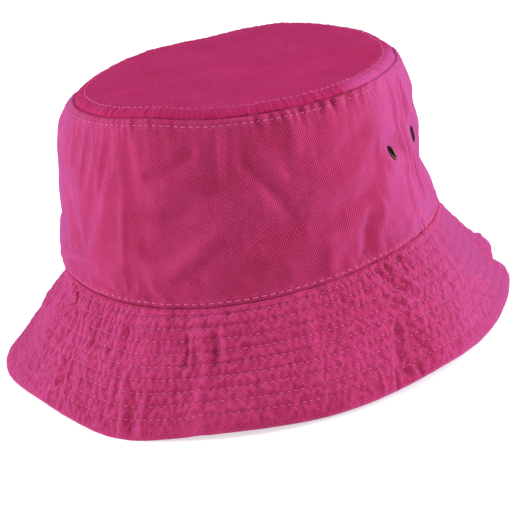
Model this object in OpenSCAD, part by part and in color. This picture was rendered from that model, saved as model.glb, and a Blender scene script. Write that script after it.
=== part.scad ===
// Bucket hat: soft oval crown, quilted drooping brim, four vent eyelets.
// Frame: +Z up, -Y the wearer's front, +X the wearer's left.
// Origin: centre of the brim's edge, in the plane the hat stands on.
// Every radius is a half width across the head; oval_xy() stretches it front to back.

/* [Crown] */
// Half width of the crown across the head, at the brim seam
crown_base_rx = 88; // [84:0.5:96]
// Half width of the crown across the head, at the tip seam
crown_top_rx = 76; // [72:0.5:82]
// Length of the oval over its width
oval = 1.14; // [1.08:0.01:1.20]
// Height of the side band, brim seam to tip seam
crown_h = 78; // [72:1:95]
// Rise of the tip panel's middle over its edge
tip_dome = 4; // [1:0.5:8]

/* [Brim] */
// Drop of the brim from its seam to its edge
brim_drop = 51; // [44:1:58]
// Reach of the brim from its seam to its edge, across the head
brim_reach = 32; // [26:1:38]
// Number of quilting rows
quilt_rows = 9; // [6:1:11]
// Distance of the first quilting row from the seam, along the brim
quilt_first = 3.5; // [3:0.5:5]
// Distance of the last quilting row from the edge, along the brim
quilt_last = 8; // [6:0.5:10]
// Width of the flat the turned edge stands on
hem_flat = 3.6; // [2.5:0.1:5]

/* [Cloth] */
// Thickness of the twill
cloth_t = 0.7; // [0.5:0.05:0.9]
// Thickness of the brim's interlining
interlining_t = 0.6; // [0.4:0.05:0.8]
// Space between neighbouring layers
ply_gap = 0.3; // [0.3:0.05:0.5]
// Diameter of the topstitching thread
thread_d = 0.45; // [0.3:0.05:0.5]
// Clearance under a thread
thread_gap = 0.1; // [0.1:0.02:0.2]

/* [Inside] */
// Height of the sweatband
sweatband_h = 28; // [22:1:32]
// Thickness of the folded sweatband
sweatband_t = 0.9; // [0.6:0.1:1.2]
// Width of the tape over a side seam
tape_w = 12; // [8:1:14]
// Thickness of seam tape
tape_t = 0.4; // [0.3:0.05:0.5]
// Thickness of the bound seam allowances at the crown's base
binding_t = 0.8; // [0.6:0.1:1]

/* [Eyelets] */
// Spacing of the two eyelets of a pair
eyelet_spacing = 26; // [22:1:30]
// Height of the eyelets over the brim seam
eyelet_h = 44; // [38:1:54]
// Bore of an eyelet
eyelet_bore_d = 4.6; // [3.6:0.1:5]
// Outer diameter of an eyelet's flange
eyelet_flange_d = 8; // [7.4:0.1:8.4]
// Outer diameter of the washer behind the cloth
washer_d = 8.4; // [7.8:0.1:9]

/* [Hidden] */
$fn = 120;

brim_seam_z = brim_drop;
tip_seam_z = brim_seam_z + crown_h;
taper = (crown_base_rx - crown_top_rx) / crown_h;  // half width lost per height
thread_lift = thread_gap + thread_d / 2;           // thread's centre over its cloth
seam_split = 0.15;                                 // half the gap of a side seam, degrees

// Angles around the crown: the start of each half, and the middle of each feature
front_start = 180;
back_start = 0;
left_angle = 0;
right_angle = 180;
rear_angle = 90;

twill = [0.72, 0.16, 0.37];
twill_dark = [0.62, 0.13, 0.31];
thread_colour = [0.80, 0.28, 0.48];
canvas_colour = [0.93, 0.91, 0.88];
tape_colour = [0.66, 0.15, 0.34];
brass_colour = [0.55, 0.42, 0.22];

// ---- shared shapes --------------------------------------------------------

module oval_xy() { scale([1, oval, 1]) children(); }

// A profile of [half width, height] points swept over both halves of the oval
module full_sweep(points) {
    oval_xy() for (start = [0, 180])
        rotate_extrude(angle = 180, start = start) polygon(points);
}

// The same over one half, from side seam to side seam
module half_sweep(points, start) {
    oval_xy() rotate_extrude(angle = 180 - 2 * seam_split, start = start + seam_split)
        polygon(points);
}

// A thread over one half of a circle, stopping end_gap degrees short at both ends
module half_thread(r, z, start, end_gap = seam_split) {
    rotate_extrude(angle = 180 - 2 * end_gap, start = start + end_gap)
        translate([r, z]) circle(d = thread_d, $fn = 8);
}

// A thread row around the oval, sewn in a front and a back run
module thread_ring(r, z) {
    oval_xy() for (start = [back_start, front_start]) half_thread(r, z, start);
}

// Outer half width of the side band at height z; upright below the brim seam
function wall_r(z) = crown_base_rx - taper * max(0, z - brim_seam_z);

// Profile of a layer between two depths inside the side band's outer face
function wall_profile(depth_out, depth_in, z0, z1) =
    let (heights = z0 < brim_seam_z ? [z0, brim_seam_z, z1] : [z0, z1])
    concat([for (z = heights) [wall_r(z) - depth_out, z]],
           [for (i = [len(heights) - 1 : -1 : 0])
               [wall_r(heights[i]) - depth_in, heights[i]]]);

// A patch of such a layer, reaching half_angle either side of mid_angle
module wall_patch(depth_out, depth_in, z0, z1, mid_angle, half_angle) {
    oval_xy() rotate_extrude(angle = 2 * half_angle, start = mid_angle - half_angle)
        polygon(wall_profile(depth_out, depth_in, z0, z1));
}

// A thread row lying on the side band's outer face
module wall_thread(z) { thread_ring(wall_r(z) + thread_lift, z); }

// ---- eyelet places --------------------------------------------------------

eyelet_z = brim_seam_z + eyelet_h;
eyelet_y = eyelet_spacing / 2;
eyelet_wall_r = wall_r(eyelet_z);
eyelet_x = eyelet_wall_r * sqrt(1 - pow(eyelet_y / (eyelet_wall_r * oval), 2));
eyelet_azimuth = atan2(eyelet_y / (oval * oval), eyelet_x);  // square to the oval
eyelet_tilt = atan(taper);

barrel_d = eyelet_bore_d + 1;
cloth_hole_d = barrel_d + 0.3;
cloth_hole_cut_h = 8;

// Places children at the four eyelets, a pair on each side, +Z out of the crown
module at_eyelets() {
    for (mirror_x = [0, 1], mirror_y = [0, 1])
        mirror([mirror_x, 0, 0]) mirror([0, mirror_y, 0])
            translate([eyelet_x, eyelet_y, eyelet_z]) rotate([0, 0, eyelet_azimuth])
                rotate([0, 90 - eyelet_tilt, 0]) children();
}

// ---- crown tip ------------------------------------------------------------

tip_steps = 12;                 // straight steps from the middle to the edge
tip_binding_inset = 2.8;        // its inner face, in from the tip seam
tip_binding_t = 0.8;
tip_binding_drop = 8;           // its lower edge, below the tip seam
tip_stitch_inset = 6;
tip_stitch_rise = 0.04;         // extra clearance over the domed panel

// Height of the tip panel's upper face at half width r
function tip_z(r) =
    tip_seam_z + ply_gap + cloth_t + tip_dome * (1 - pow(r / crown_top_rx, 2));

module crown_top_panel() {
    radii = [for (i = [0 : tip_steps]) crown_top_rx * i / tip_steps];
    color(twill) full_sweep(concat(
        [for (r = radii) [r, tip_z(r)]],
        [for (i = [tip_steps : -1 : 0]) [radii[i], tip_z(radii[i]) - cloth_t]]));
}

module crown_top_binding() {
    color(tape_colour) oval_xy() for (start = [0, 180])
        rotate_extrude(angle = 180, start = start)
            translate([crown_top_rx - tip_binding_inset, tip_seam_z - tip_binding_drop])
                square([tip_binding_t, tip_binding_drop - ply_gap]);
}

module tip_topstitch() {
    r = crown_top_rx - tip_stitch_inset;
    color(thread_colour) thread_ring(r, tip_z(r) + tip_stitch_rise + thread_lift);
}

// ---- crown side -----------------------------------------------------------

seam_allow = 4;                 // cloth turned down behind the brim seam
base_lap = 3;                   // binding and sweatband reach this far below the brim seam
binding_h = 7;                  // height of the bound seam allowances over the seam
tape_foot_gap = 1;              // from the binding up to the side seam tape
tape_head_gap = 1;              // from the side seam tape up to the tip seam
band_top_stitch_drop = 5;
base_stitch_rise = 2;
lining_depth = cloth_t + ply_gap;   // outer face of what lies against the side band

module crown_side(start) {
    color(twill) difference() {
        half_sweep(wall_profile(0, cloth_t, brim_seam_z - seam_allow, tip_seam_z), start);
        at_eyelets() translate([0, 0, -cloth_hole_cut_h / 2])
            cylinder(d = cloth_hole_d, h = cloth_hole_cut_h, $fn = 48);
    }
}
module crown_side_front() { crown_side(front_start); }
module crown_side_back() { crown_side(back_start); }

module side_seam_tape(mid_angle) {
    color(tape_colour)
        wall_patch(lining_depth, lining_depth + tape_t,
                   brim_seam_z + binding_h + tape_foot_gap, tip_seam_z - tape_head_gap,
                   mid_angle, asin(tape_w / 2 / (crown_top_rx * oval)));
}
module side_seam_tape_left() { side_seam_tape(left_angle); }
module side_seam_tape_right() { side_seam_tape(right_angle); }

module band_top_topstitch() {
    color(thread_colour) wall_thread(tip_seam_z - band_top_stitch_drop);
}
module crown_base_topstitch() {
    color(thread_colour) wall_thread(brim_seam_z + base_stitch_rise);
}

// The bound edges of crown, brim and sweatband, folded up inside the base
module crown_seam_binding() {
    color(tape_colour)
        full_sweep(wall_profile(lining_depth, lining_depth + binding_t,
                                brim_seam_z - base_lap, brim_seam_z + binding_h));
}

// ---- sweatband ------------------------------------------------------------

// Depths inside the side band's outer face
sweatband_outer = lining_depth + binding_t + ply_gap;
sweatband_inner = sweatband_outer + sweatband_t;
sweatband_z0 = brim_seam_z - base_lap;
sweatband_z1 = sweatband_z0 + sweatband_h;
sweatband_stitch_drop = 3;      // below the sweatband's upper edge

label_t = 0.4;
label_half_angle = 8;
label_foot = 2;                 // lower edge over the brim seam
label_head = 18;                // upper edge over the brim seam

module sweatband() {
    color(canvas_colour)
        full_sweep(wall_profile(sweatband_outer, sweatband_inner, sweatband_z0, sweatband_z1));
}

module sweatband_edge_stitch() {
    z = sweatband_z1 - sweatband_stitch_drop;
    color(thread_colour) thread_ring(wall_r(z) - sweatband_inner - thread_lift, z);
}

module care_label() {
    depth = sweatband_inner + ply_gap;
    color(canvas_colour)
        wall_patch(depth, depth + label_t, brim_seam_z + label_foot, brim_seam_z + label_head,
                   rear_angle, label_half_angle);
}

// ---- eyelets --------------------------------------------------------------

// Heights are along the eyelet's axis, 0 at the cloth's outer face
barrel_inner_z = -2.1;
flange_under_z = 0.15;
flange_outer_z = 0.75;
roll_d = barrel_d + 1.2;        // rolled inner end of the barrel
roll_h = 0.5;
bore_cut_h = 5;
washer_z = -1.5;
washer_t = 0.5;
washer_hole_d = barrel_d + 0.2;
washer_cut_h = 3;
cut_margin = 1;                 // a cut starts this far below its piece

// An upright round from z, h high
module eyelet_round(d, z, h) { translate([0, 0, z]) cylinder(d = d, h = h, $fn = 64); }

module vent_eyelets() {
    color(brass_colour) at_eyelets() difference() {
        union() {
            eyelet_round(barrel_d, barrel_inner_z, flange_outer_z - barrel_inner_z);
            eyelet_round(eyelet_flange_d, flange_under_z, flange_outer_z - flange_under_z);
            eyelet_round(roll_d, barrel_inner_z, roll_h);
        }
        eyelet_round(eyelet_bore_d, barrel_inner_z - cut_margin, bore_cut_h);
    }
}

module eyelet_washers() {
    color(brass_colour) at_eyelets() difference() {
        eyelet_round(washer_d, washer_z, washer_t);
        eyelet_round(washer_hole_d, washer_z - cut_margin, washer_cut_h);
    }
}

// ---- brim -----------------------------------------------------------------

brim_in = crown_base_rx + 0.6;              // the brim clears the crown, so it can turn up
brim_out = crown_base_rx + brim_reach;
slope = (brim_out - brim_in) / brim_drop;   // reach per height
// Length along the brim per height, and horizontal distance per normal distance
lean = sqrt(1 + slope * slope);
brim_len = brim_drop * lean;                // width of the brim, across the head
row_pitch = (brim_len - quilt_first - quilt_last) / (quilt_rows - 1);
row_end_gap = 0.3;                          // rows stop short of the cloth's ends, degrees

// Depths of the inner layers, square to the brim's upper face
interlining_top = cloth_t + ply_gap;
interlining_bottom = interlining_top + interlining_t;
under_top = interlining_bottom + ply_gap;
under_bottom = under_top + cloth_t;
inner_z0 = cloth_t + ply_gap;               // inner layers stop above the turned edge

hem_overrun = 1;                            // turned edge below the ground, before the cut
ground_cut_w = 800;
ground_cut_h = 10;

// Half width of the brim's upper face at height z
function brim_r(z) = brim_out - slope * z;

// Upper cloth: turned under at the edge, so the hat stands on a flat ring
module brim_upper(start) {
    cloth_across = cloth_t * lean;
    hem_in = brim_out - hem_flat;
    color(twill) difference() {
        half_sweep([[brim_in, brim_seam_z],
                    [brim_in, brim_seam_z - cloth_across / slope],
                    [brim_r(cloth_t) - cloth_across, cloth_t],
                    [hem_in, cloth_t],
                    [hem_in, -hem_overrun],
                    [brim_out, -hem_overrun],
                    [brim_out, 0]], start);
        translate([-ground_cut_w / 2, -ground_cut_w / 2, -ground_cut_h])
            cube([ground_cut_w, ground_cut_w, ground_cut_h]);
    }
}
module brim_upper_front() { brim_upper(front_start); }
module brim_upper_back() { brim_upper(back_start); }

// An inner layer between two depths below the brim's upper face
module brim_layer(top, bottom, start) {
    top_across = top * lean;
    bottom_across = bottom * lean;
    half_sweep([[brim_in, brim_seam_z - top_across / slope],
                [brim_in, brim_seam_z - bottom_across / slope],
                [brim_r(inner_z0) - bottom_across, inner_z0],
                [brim_r(inner_z0) - top_across, inner_z0]], start);
}

module brim_interlining(start) {
    color(canvas_colour) brim_layer(interlining_top, interlining_bottom, start);
}
module brim_interlining_front() { brim_interlining(front_start); }
module brim_interlining_back() { brim_interlining(back_start); }

module brim_under(start) { color(twill_dark) brim_layer(under_top, under_bottom, start); }
module brim_under_front() { brim_under(front_start); }
module brim_under_back() { brim_under(back_start); }

// Quilting rows with their centres at height lift, square over the brim's upper face
module brim_rows(lift, start) {
    color(thread_colour) oval_xy() for (i = [0 : quilt_rows - 1]) {
        z = brim_seam_z - (quilt_first + i * row_pitch) / lean;
        half_thread(brim_r(z) + lift / lean, z + lift * slope / lean,
                    start, seam_split + row_end_gap);
    }
}
module brim_quilting_front() { brim_rows(thread_lift, front_start); }
module brim_quilting_back() { brim_rows(thread_lift, back_start); }
module brim_bobbin_thread_front() { brim_rows(-under_bottom - thread_lift, front_start); }
module brim_bobbin_thread_back() { brim_rows(-under_bottom - thread_lift, back_start); }

crown_top_panel();
crown_top_binding();
tip_topstitch();
crown_side_front();
crown_side_back();
side_seam_tape_left();
side_seam_tape_right();
band_top_topstitch();
crown_base_topstitch();
crown_seam_binding();
sweatband();
sweatband_edge_stitch();
care_label();
vent_eyelets();
eyelet_washers();
brim_upper_front();
brim_upper_back();
brim_interlining_front();
brim_interlining_back();
brim_under_front();
brim_under_back();
brim_quilting_front();
brim_quilting_back();
brim_bobbin_thread_front();
brim_bobbin_thread_back();
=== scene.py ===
# A soft quilted bucket hat of pink twill, standing on its brim's edge at z = 0. It is an oval
# centred on the Z axis and longer along Y; the front is -Y and the wearer's left is +X.
# Angles run round the oval from +X: the left seam is at 0, the back at 90, the right seam at
# 180 and the front at 270 degrees. Lengths are in mm until a mesh is made.
import functools
import math

import bmesh
import bpy
import numpy as np
from mathutils import Matrix, Vector


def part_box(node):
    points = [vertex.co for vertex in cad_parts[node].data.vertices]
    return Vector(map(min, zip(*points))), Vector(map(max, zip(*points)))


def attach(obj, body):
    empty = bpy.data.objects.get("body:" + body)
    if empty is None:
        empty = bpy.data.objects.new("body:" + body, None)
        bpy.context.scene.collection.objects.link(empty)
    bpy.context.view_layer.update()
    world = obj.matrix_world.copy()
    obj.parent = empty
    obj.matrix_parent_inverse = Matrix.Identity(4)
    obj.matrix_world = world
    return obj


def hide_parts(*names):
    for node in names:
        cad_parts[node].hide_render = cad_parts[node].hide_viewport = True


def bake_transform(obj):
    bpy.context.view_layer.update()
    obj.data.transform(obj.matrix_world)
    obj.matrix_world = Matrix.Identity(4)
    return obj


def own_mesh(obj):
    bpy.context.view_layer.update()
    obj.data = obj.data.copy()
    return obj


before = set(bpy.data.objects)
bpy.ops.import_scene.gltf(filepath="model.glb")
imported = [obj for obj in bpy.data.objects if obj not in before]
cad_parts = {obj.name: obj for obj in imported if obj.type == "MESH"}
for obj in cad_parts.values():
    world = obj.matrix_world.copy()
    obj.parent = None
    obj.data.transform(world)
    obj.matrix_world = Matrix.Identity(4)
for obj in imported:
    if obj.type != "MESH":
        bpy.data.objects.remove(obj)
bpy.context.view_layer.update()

scene = bpy.context.scene
MM = 0.001
TAU = 2 * math.pi


# ------------------------------------------------------------ main sizes, from the frame
def box_mm(node):
    return [v * 1000 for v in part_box(node)]


side_low, side_high = box_mm("crown_side_front")
SEAM_R = side_high.x                      # crown half width at the brim seam
TIP_Z = side_high.z                       # height of the tip seam
OVAL = -side_low.y / side_high.x          # length of the oval over its width
brim_high = box_mm("brim_upper_front")[1]
EDGE_R, SEAM_Z = brim_high.x, brim_high.z     # brim edge half width, height of the brim seam
TIP_R = box_mm("crown_top_panel")[1].x    # crown half width at the tip seam
DOME = 4.0                                # rise of the tip above its seam
CROWN_H = TIP_Z - SEAM_Z
CROWN_L = math.hypot(SEAM_R - TIP_R, CROWN_H)     # height of the side band along its slope
BRIM_L = math.hypot(EDGE_R - SEAM_R, SEAM_Z)      # width of the brim along its slope
FAN_CROWN = SEAM_R / ((SEAM_R - TIP_R) / CROWN_L)     # radius of the side band laid flat
FAN_BRIM = BRIM_L * SEAM_R / (EDGE_R - SEAM_R)        # radius of the flat brim at its seam

# quilting rows, as distances down the brim from its seam
ROWS, ROW_FIRST, ROW_LAST = 9, 3.5, 8.0
ROW_PITCH = (BRIM_L - ROW_FIRST - ROW_LAST) / (ROWS - 1)
ROW_S = [ROW_FIRST + i * ROW_PITCH for i in range(ROWS)]
TOP_ROW = 3.1                             # stitch row on the side band, below the tip seam
TIP_ROW = 5.3                             # stitch row on the tip, in from its seam

CLOTH = 0.7                               # thickness of the twill
BRIM_THICK = 2.6                          # all the brim's layers
HEM = 4.0                                 # width of the turned edge under the brim
SIDE_GAP = 0.0018                         # angle left open at a crown side seam
BRIM_GAP = 0.0001                         # the brim's two halves are sewn edge to edge
TAPE_HALF = 6.0                           # half width of the side seam tapes
SWEATBAND_H, SWEATBAND_BELOW = 28.0, 3.0  # its height, and how far it hangs below the seam
SWEATBAND_ROW = 25.0                      # its stitch row, above its lower edge

eyelet_z = (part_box("vent_eyelets")[0].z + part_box("vent_eyelets")[1].z) * 500
EYELET_T = (eyelet_z - SEAM_Z) / CROWN_H
EYELET_R = SEAM_R + (TIP_R - SEAM_R) * EYELET_T
EYELET_TH = math.asin(13.0 / (OVAL * EYELET_R))
# angle, share of the band's height, lean round the hat, lean upwards, how pale the lip is:
# rubbed wear plus a painted highlight
EYELETS = [
    (EYELET_TH, EYELET_T - 0.5 / CROWN_L, 0.24, 0.05, 0.5),
    (-EYELET_TH - 0.011, EYELET_T - 1.3 / CROWN_L, 0.36, 0.42, 1.0),
    (math.pi - EYELET_TH, EYELET_T, -0.1, 0.1, 0.85),
    (math.pi + EYELET_TH, EYELET_T, 0.08, -0.08, 0.7),
]


# ------------------------------------------------------------ noise and smooth shapes
@functools.lru_cache(None)
def noise_tables(seed):
    rng = np.random.RandomState(seed)
    perm = rng.permutation(1024)
    angle = rng.rand(1024) * TAU
    return perm, np.cos(angle), np.sin(angle)


def gradient_noise(u, v, seed, period):
    """Gradient noise, about -1..1, periodic in u every `period` cells."""
    perm, grad_x, grad_y = noise_tables(seed)
    iu, iv = np.floor(u).astype(int), np.floor(v).astype(int)
    fu, fv = u - iu, v - iv
    su, sv = (f * f * f * (f * (f * 6 - 15) + 10) for f in (fu, fv))

    def corner(du, dv):
        h = perm[(perm[np.mod(iu + du, period) & 1023] + iv + dv) & 1023]
        return grad_x[h] * (fu - du) + grad_y[h] * (fv - dv)

    low = corner(0, 0) * (1 - su) + corner(1, 0) * su
    high = corner(0, 1) * (1 - su) + corner(1, 1) * su
    return 1.5 * (low * (1 - sv) + high * sv)


def cloth_noise(th, s, size_round, size_across, seed, shear=0.0, girth=TAU * 105):
    """Noise over a ring of cloth, with cells of size_round by size_across mm."""
    cells = max(3, int(round(girth / size_round)))
    return gradient_noise(th / TAU * cells + shear * s / size_round, s / size_across + 37.0,
                          seed, cells)


def ring_noise(th, size_round, seed):
    """Noise that changes only round the hat."""
    return cloth_noise(th, 0.0, size_round, 50, seed)


def fourier(c, th):
    """A constant, then pairs of cosine and sine amounts."""
    s = np.full_like(th, c[0], dtype=float)
    for o in range(1, (len(c) - 1) // 2 + 1):
        s = s + c[2 * o - 1] * np.cos(o * th) + c[2 * o] * np.sin(o * th)
    return s


def smooth(x, a, b):
    t = np.clip((x - a) / (b - a), 0, 1)
    return t * t * (3 - 2 * t)


def bell(x, width, power=2):
    return np.exp(-(x / width) ** power)


def wrap(angle):
    return (angle + math.pi) % TAU - math.pi


def lump(th, degrees, width):
    """A smooth bump round the oval at an angle, of a width, in degrees."""
    return bell(wrap(th - math.radians(degrees)), math.radians(width))


def lumps(start, th, rows):
    """start plus lumps. Each row: height, degrees, width in degrees."""
    for height, degrees, width in rows:
        start = start + height * lump(th, degrees, width)
    return start


def seam_angle(th):
    """Angle to the nearer side seam."""
    return np.minimum(np.abs(wrap(th)), np.abs(wrap(th - math.pi)))


def oval(r, th, z):
    return np.stack([r * np.cos(th), OVAL * r * np.sin(th), z], -1)


# ------------------------------------------------------------ how the soft hat sits
# slow waves of its three rings in mm: a constant, then cosine and sine amounts
TIP_R_WAVES = [-0.15, 0.51, 0.66, -0.34, 0.02]
TIP_Z_WAVES = [0.0, 0.72, -0.62, -1.03, 0.53]
BASE_R_WAVES = [0.17, -0.54, -0.79, 0.59, 0.61, -0.57, 0.23]
BASE_Z_WAVES = [-0.3, 0.07, 0.59, 0.94, 0.73, 0.03, -0.86]
EDGE_R_WAVES = [0.06, -1.5, 0.79, 0.36, 0.86, -1.7, -0.04, -0.26, 0.92, -0.23, -0.9, -0.68,
                -0.15, 0.38, -0.35]
EDGE_Z_WAVES = [2.08, 0.36, -0.66, 0.79, 0.01, -0.09, -0.48, -0.04, 0.18, -0.05, 0.0, 0.21,
                0.12, -1.02, -0.38]
# single bumps and dents of the rings: mm, degrees, width in degrees
TIP_R_LUMPS = [(-3.1, 41, 13), (-1.2, 24, 9), (-1.6, 192, 24)]
TIP_Z_LUMPS = [(1.7, 267, 14), (-2.2, 115, 80), (-1.7, 62, 24), (-0.8, 128, 14),
               (1.3, 100, 20), (0.9, 155, 16), (-0.3, 48, 14)]
EDGE_R_LUMPS = [(2.4, 265, 10), (-1.2, 192, 7), (-1.3, 39.8, 4.6), (-0.6, 28.4, 6)]
EDGE_Z_LUMPS = [(1.96, 46, 6), (-0.2, 31.7, 7)]


def tip_ring(th):
    return (lumps(TIP_R + fourier(TIP_R_WAVES, th), th, TIP_R_LUMPS),
            lumps(TIP_Z + 0.6 + fourier(TIP_Z_WAVES, th), th, TIP_Z_LUMPS))


def base_ring(th):
    return SEAM_R + fourier(BASE_R_WAVES, th), SEAM_Z + fourier(BASE_Z_WAVES, th)


def edge_ring(th):
    z = lumps(fourier(EDGE_Z_WAVES, th), th, EDGE_Z_LUMPS)
    return (lumps(EDGE_R + fourier(EDGE_R_WAVES, th), th, EDGE_R_LUMPS),
            np.maximum(z, 0.0) + 1.3)


# ------------------------------------------------------------ single folds
def spline(points, steps=10):
    """A smooth line through the points."""
    p = np.array(points, float)
    if len(p) == 2:
        return p[0] + (p[1] - p[0]) * np.linspace(0, 1, 4)[:, None]
    q = np.concatenate([[2 * p[0] - p[1]], p, [2 * p[-1] - p[-2]]])
    line = []
    for i in range(len(p) - 1):
        t = np.linspace(0, 1, max(3, steps // (len(p) - 1)), endpoint=False)[:, None]
        a, b, c, d = q[i:i + 4]
        line.append(0.5 * (2 * b + (c - a) * t + (2 * a - 5 * b + 4 * c - d) * t ** 2
                           + (3 * b - a - 3 * c + d) * t ** 3))
    line.append(p[-1:])
    return np.concatenate(line)


def folds(th, y, items, radius):
    """Sum of folds. Each: height mm, width mm, points (degrees, mm across the cloth)."""
    total = np.zeros_like(th)
    for height, width, points in items:
        line = spline(points)
        mid = math.radians(line[:, 0].mean())
        x = wrap(th - mid) * radius
        px = (np.radians(line[:, 0]) - mid) * radius
        py = line[:, 1]
        reach = 3.2 * width
        near = ((x > px.min() - reach) & (x < px.max() + reach)
                & (y > py.min() - reach) & (y < py.max() + reach))
        if not near.any():
            continue
        xn, yn = x[near], y[near]
        nearest = np.full(xn.shape, 1e9)
        along = np.zeros_like(xn)
        dx, dy = np.diff(px), np.diff(py)
        seg = np.hypot(dx, dy)
        run = np.concatenate([[0], np.cumsum(seg)])
        for i in range(len(seg)):
            u = ((xn - px[i]) * dx[i] + (yn - py[i]) * dy[i]) / (seg[i] ** 2 + 1e-9)
            u = np.clip(u, 0, 1)
            dist2 = (xn - px[i] - u * dx[i]) ** 2 + (yn - py[i] - u * dy[i]) ** 2
            closer = dist2 < nearest
            nearest = np.where(closer, dist2, nearest)
            along = np.where(closer, (run[i] + u * seg[i]) / run[-1], along)
        # the fold fades to a quarter of its height at both ends
        ends = 0.25 + 0.75 * smooth(along, 0, 0.18) * (1 - smooth(along, 0.8, 1.0))
        total[near] += height * np.exp(-nearest / (width * width)) * ends
    return total


FOLD_SPAN = 79.0           # mm that a crown fold's heights are shares of
CROWN_FOLD_GAIN = 1.35     # deepens the front's folds

# height mm (before the gain), width mm, points (degrees, share of FOLD_SPAN)
CROWN_FRONT_FOLDS = [
    (-1.1, 3.2, [(284, .87), (277, .775), (270, .715), (262, .69)]),
    (0.9, 4.6, [(287, .75), (279, .68), (271, .62), (264, .60)]),
    (-1.0, 3.8, [(291, .68), (284, .58), (277, .52), (269, .47)]),
    (1.1, 4.2, [(291, .43), (284, .36), (278, .28), (271, .16)]),
    (0.45, 2.2, [(256.6, .04), (256.3, .3), (256.2, .62)]),
    (0.20, 2.6, [(222, .82), (229, .75), (233, .65), (235.5, .5), (236.3, .35)]),
    (0.8, 2.3, [(291.3, .97), (291, .82), (290.5, .66)]),
    (-1.25, 3.2, [(295, .80), (301, .68), (305, .58), (310, .45)]),
    (0.7, 3.2, [(300, .83), (306, .72), (311, .60)]),
    (1.3, 4.6, [(313.5, 1.0), (314, .86), (313, .72)]),
    (-1.0, 3.8, [(346, .82), (337, .76), (328, .68), (319, .64)]),
    (0.8, 5.0, [(304, .50), (320, .51), (338, .57)]),
    (-1.3, 5.6, [(294, .36), (308, .37), (322, .375), (336, .40), (347, .46)]),
    (1.0, 3.8, [(318.6, .02), (319.3, .15), (322, .30)]),
    (-1.2, 3.2, [(331.5, .03), (333, .18), (337, .31)]),
    (0.9, 3.4, [(337, .03), (338, .16), (343, .27)]),
    (0.9, 1.5, [(360, .99), (359.5, .80), (358.2, .66), (359.5, .50), (357.6, .30),
                (358.2, .08)]),
    (-0.6, 1.3, [(361.8, .97), (361.4, .75), (360.6, .6), (361.4, .45), (360.2, .2)]),
    (0.8, 1.5, [(364, .99), (364.6, .80), (363, .60), (362.8, .40), (365, .20), (363.5, .05)]),
    (-0.7, 1.4, [(366, .98), (366, .8), (365.4, .45), (366.2, .15)]),
    (0.8, 1.7, [(368.5, .98), (367.5, .85), (368.5, .70), (367.2, .48), (367.8, .28),
                (368, .08)]),
    (-0.9, 2.6, [(367, .50), (371, .38), (374, .20), (377, .06)]),
    (0.7, 3.6, [(367, .72), (373, .78), (384, .81)]),
    (0.6, 2.0, [(352.5, .52), (356.5, .47), (359, .39)]),
    (0.8, 2.2, [(350, .06), (355, .11), (361, .12)]),
    (-0.8, 2.2, [(338.5, .10), (346, .075), (352, .03)]),
    (0.5, 2.0, [(224, .10), (232, .16), (243, .18)]),
    (-0.5, 3.4, [(222, .55), (229, .45), (236, .20)]),
]

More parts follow.
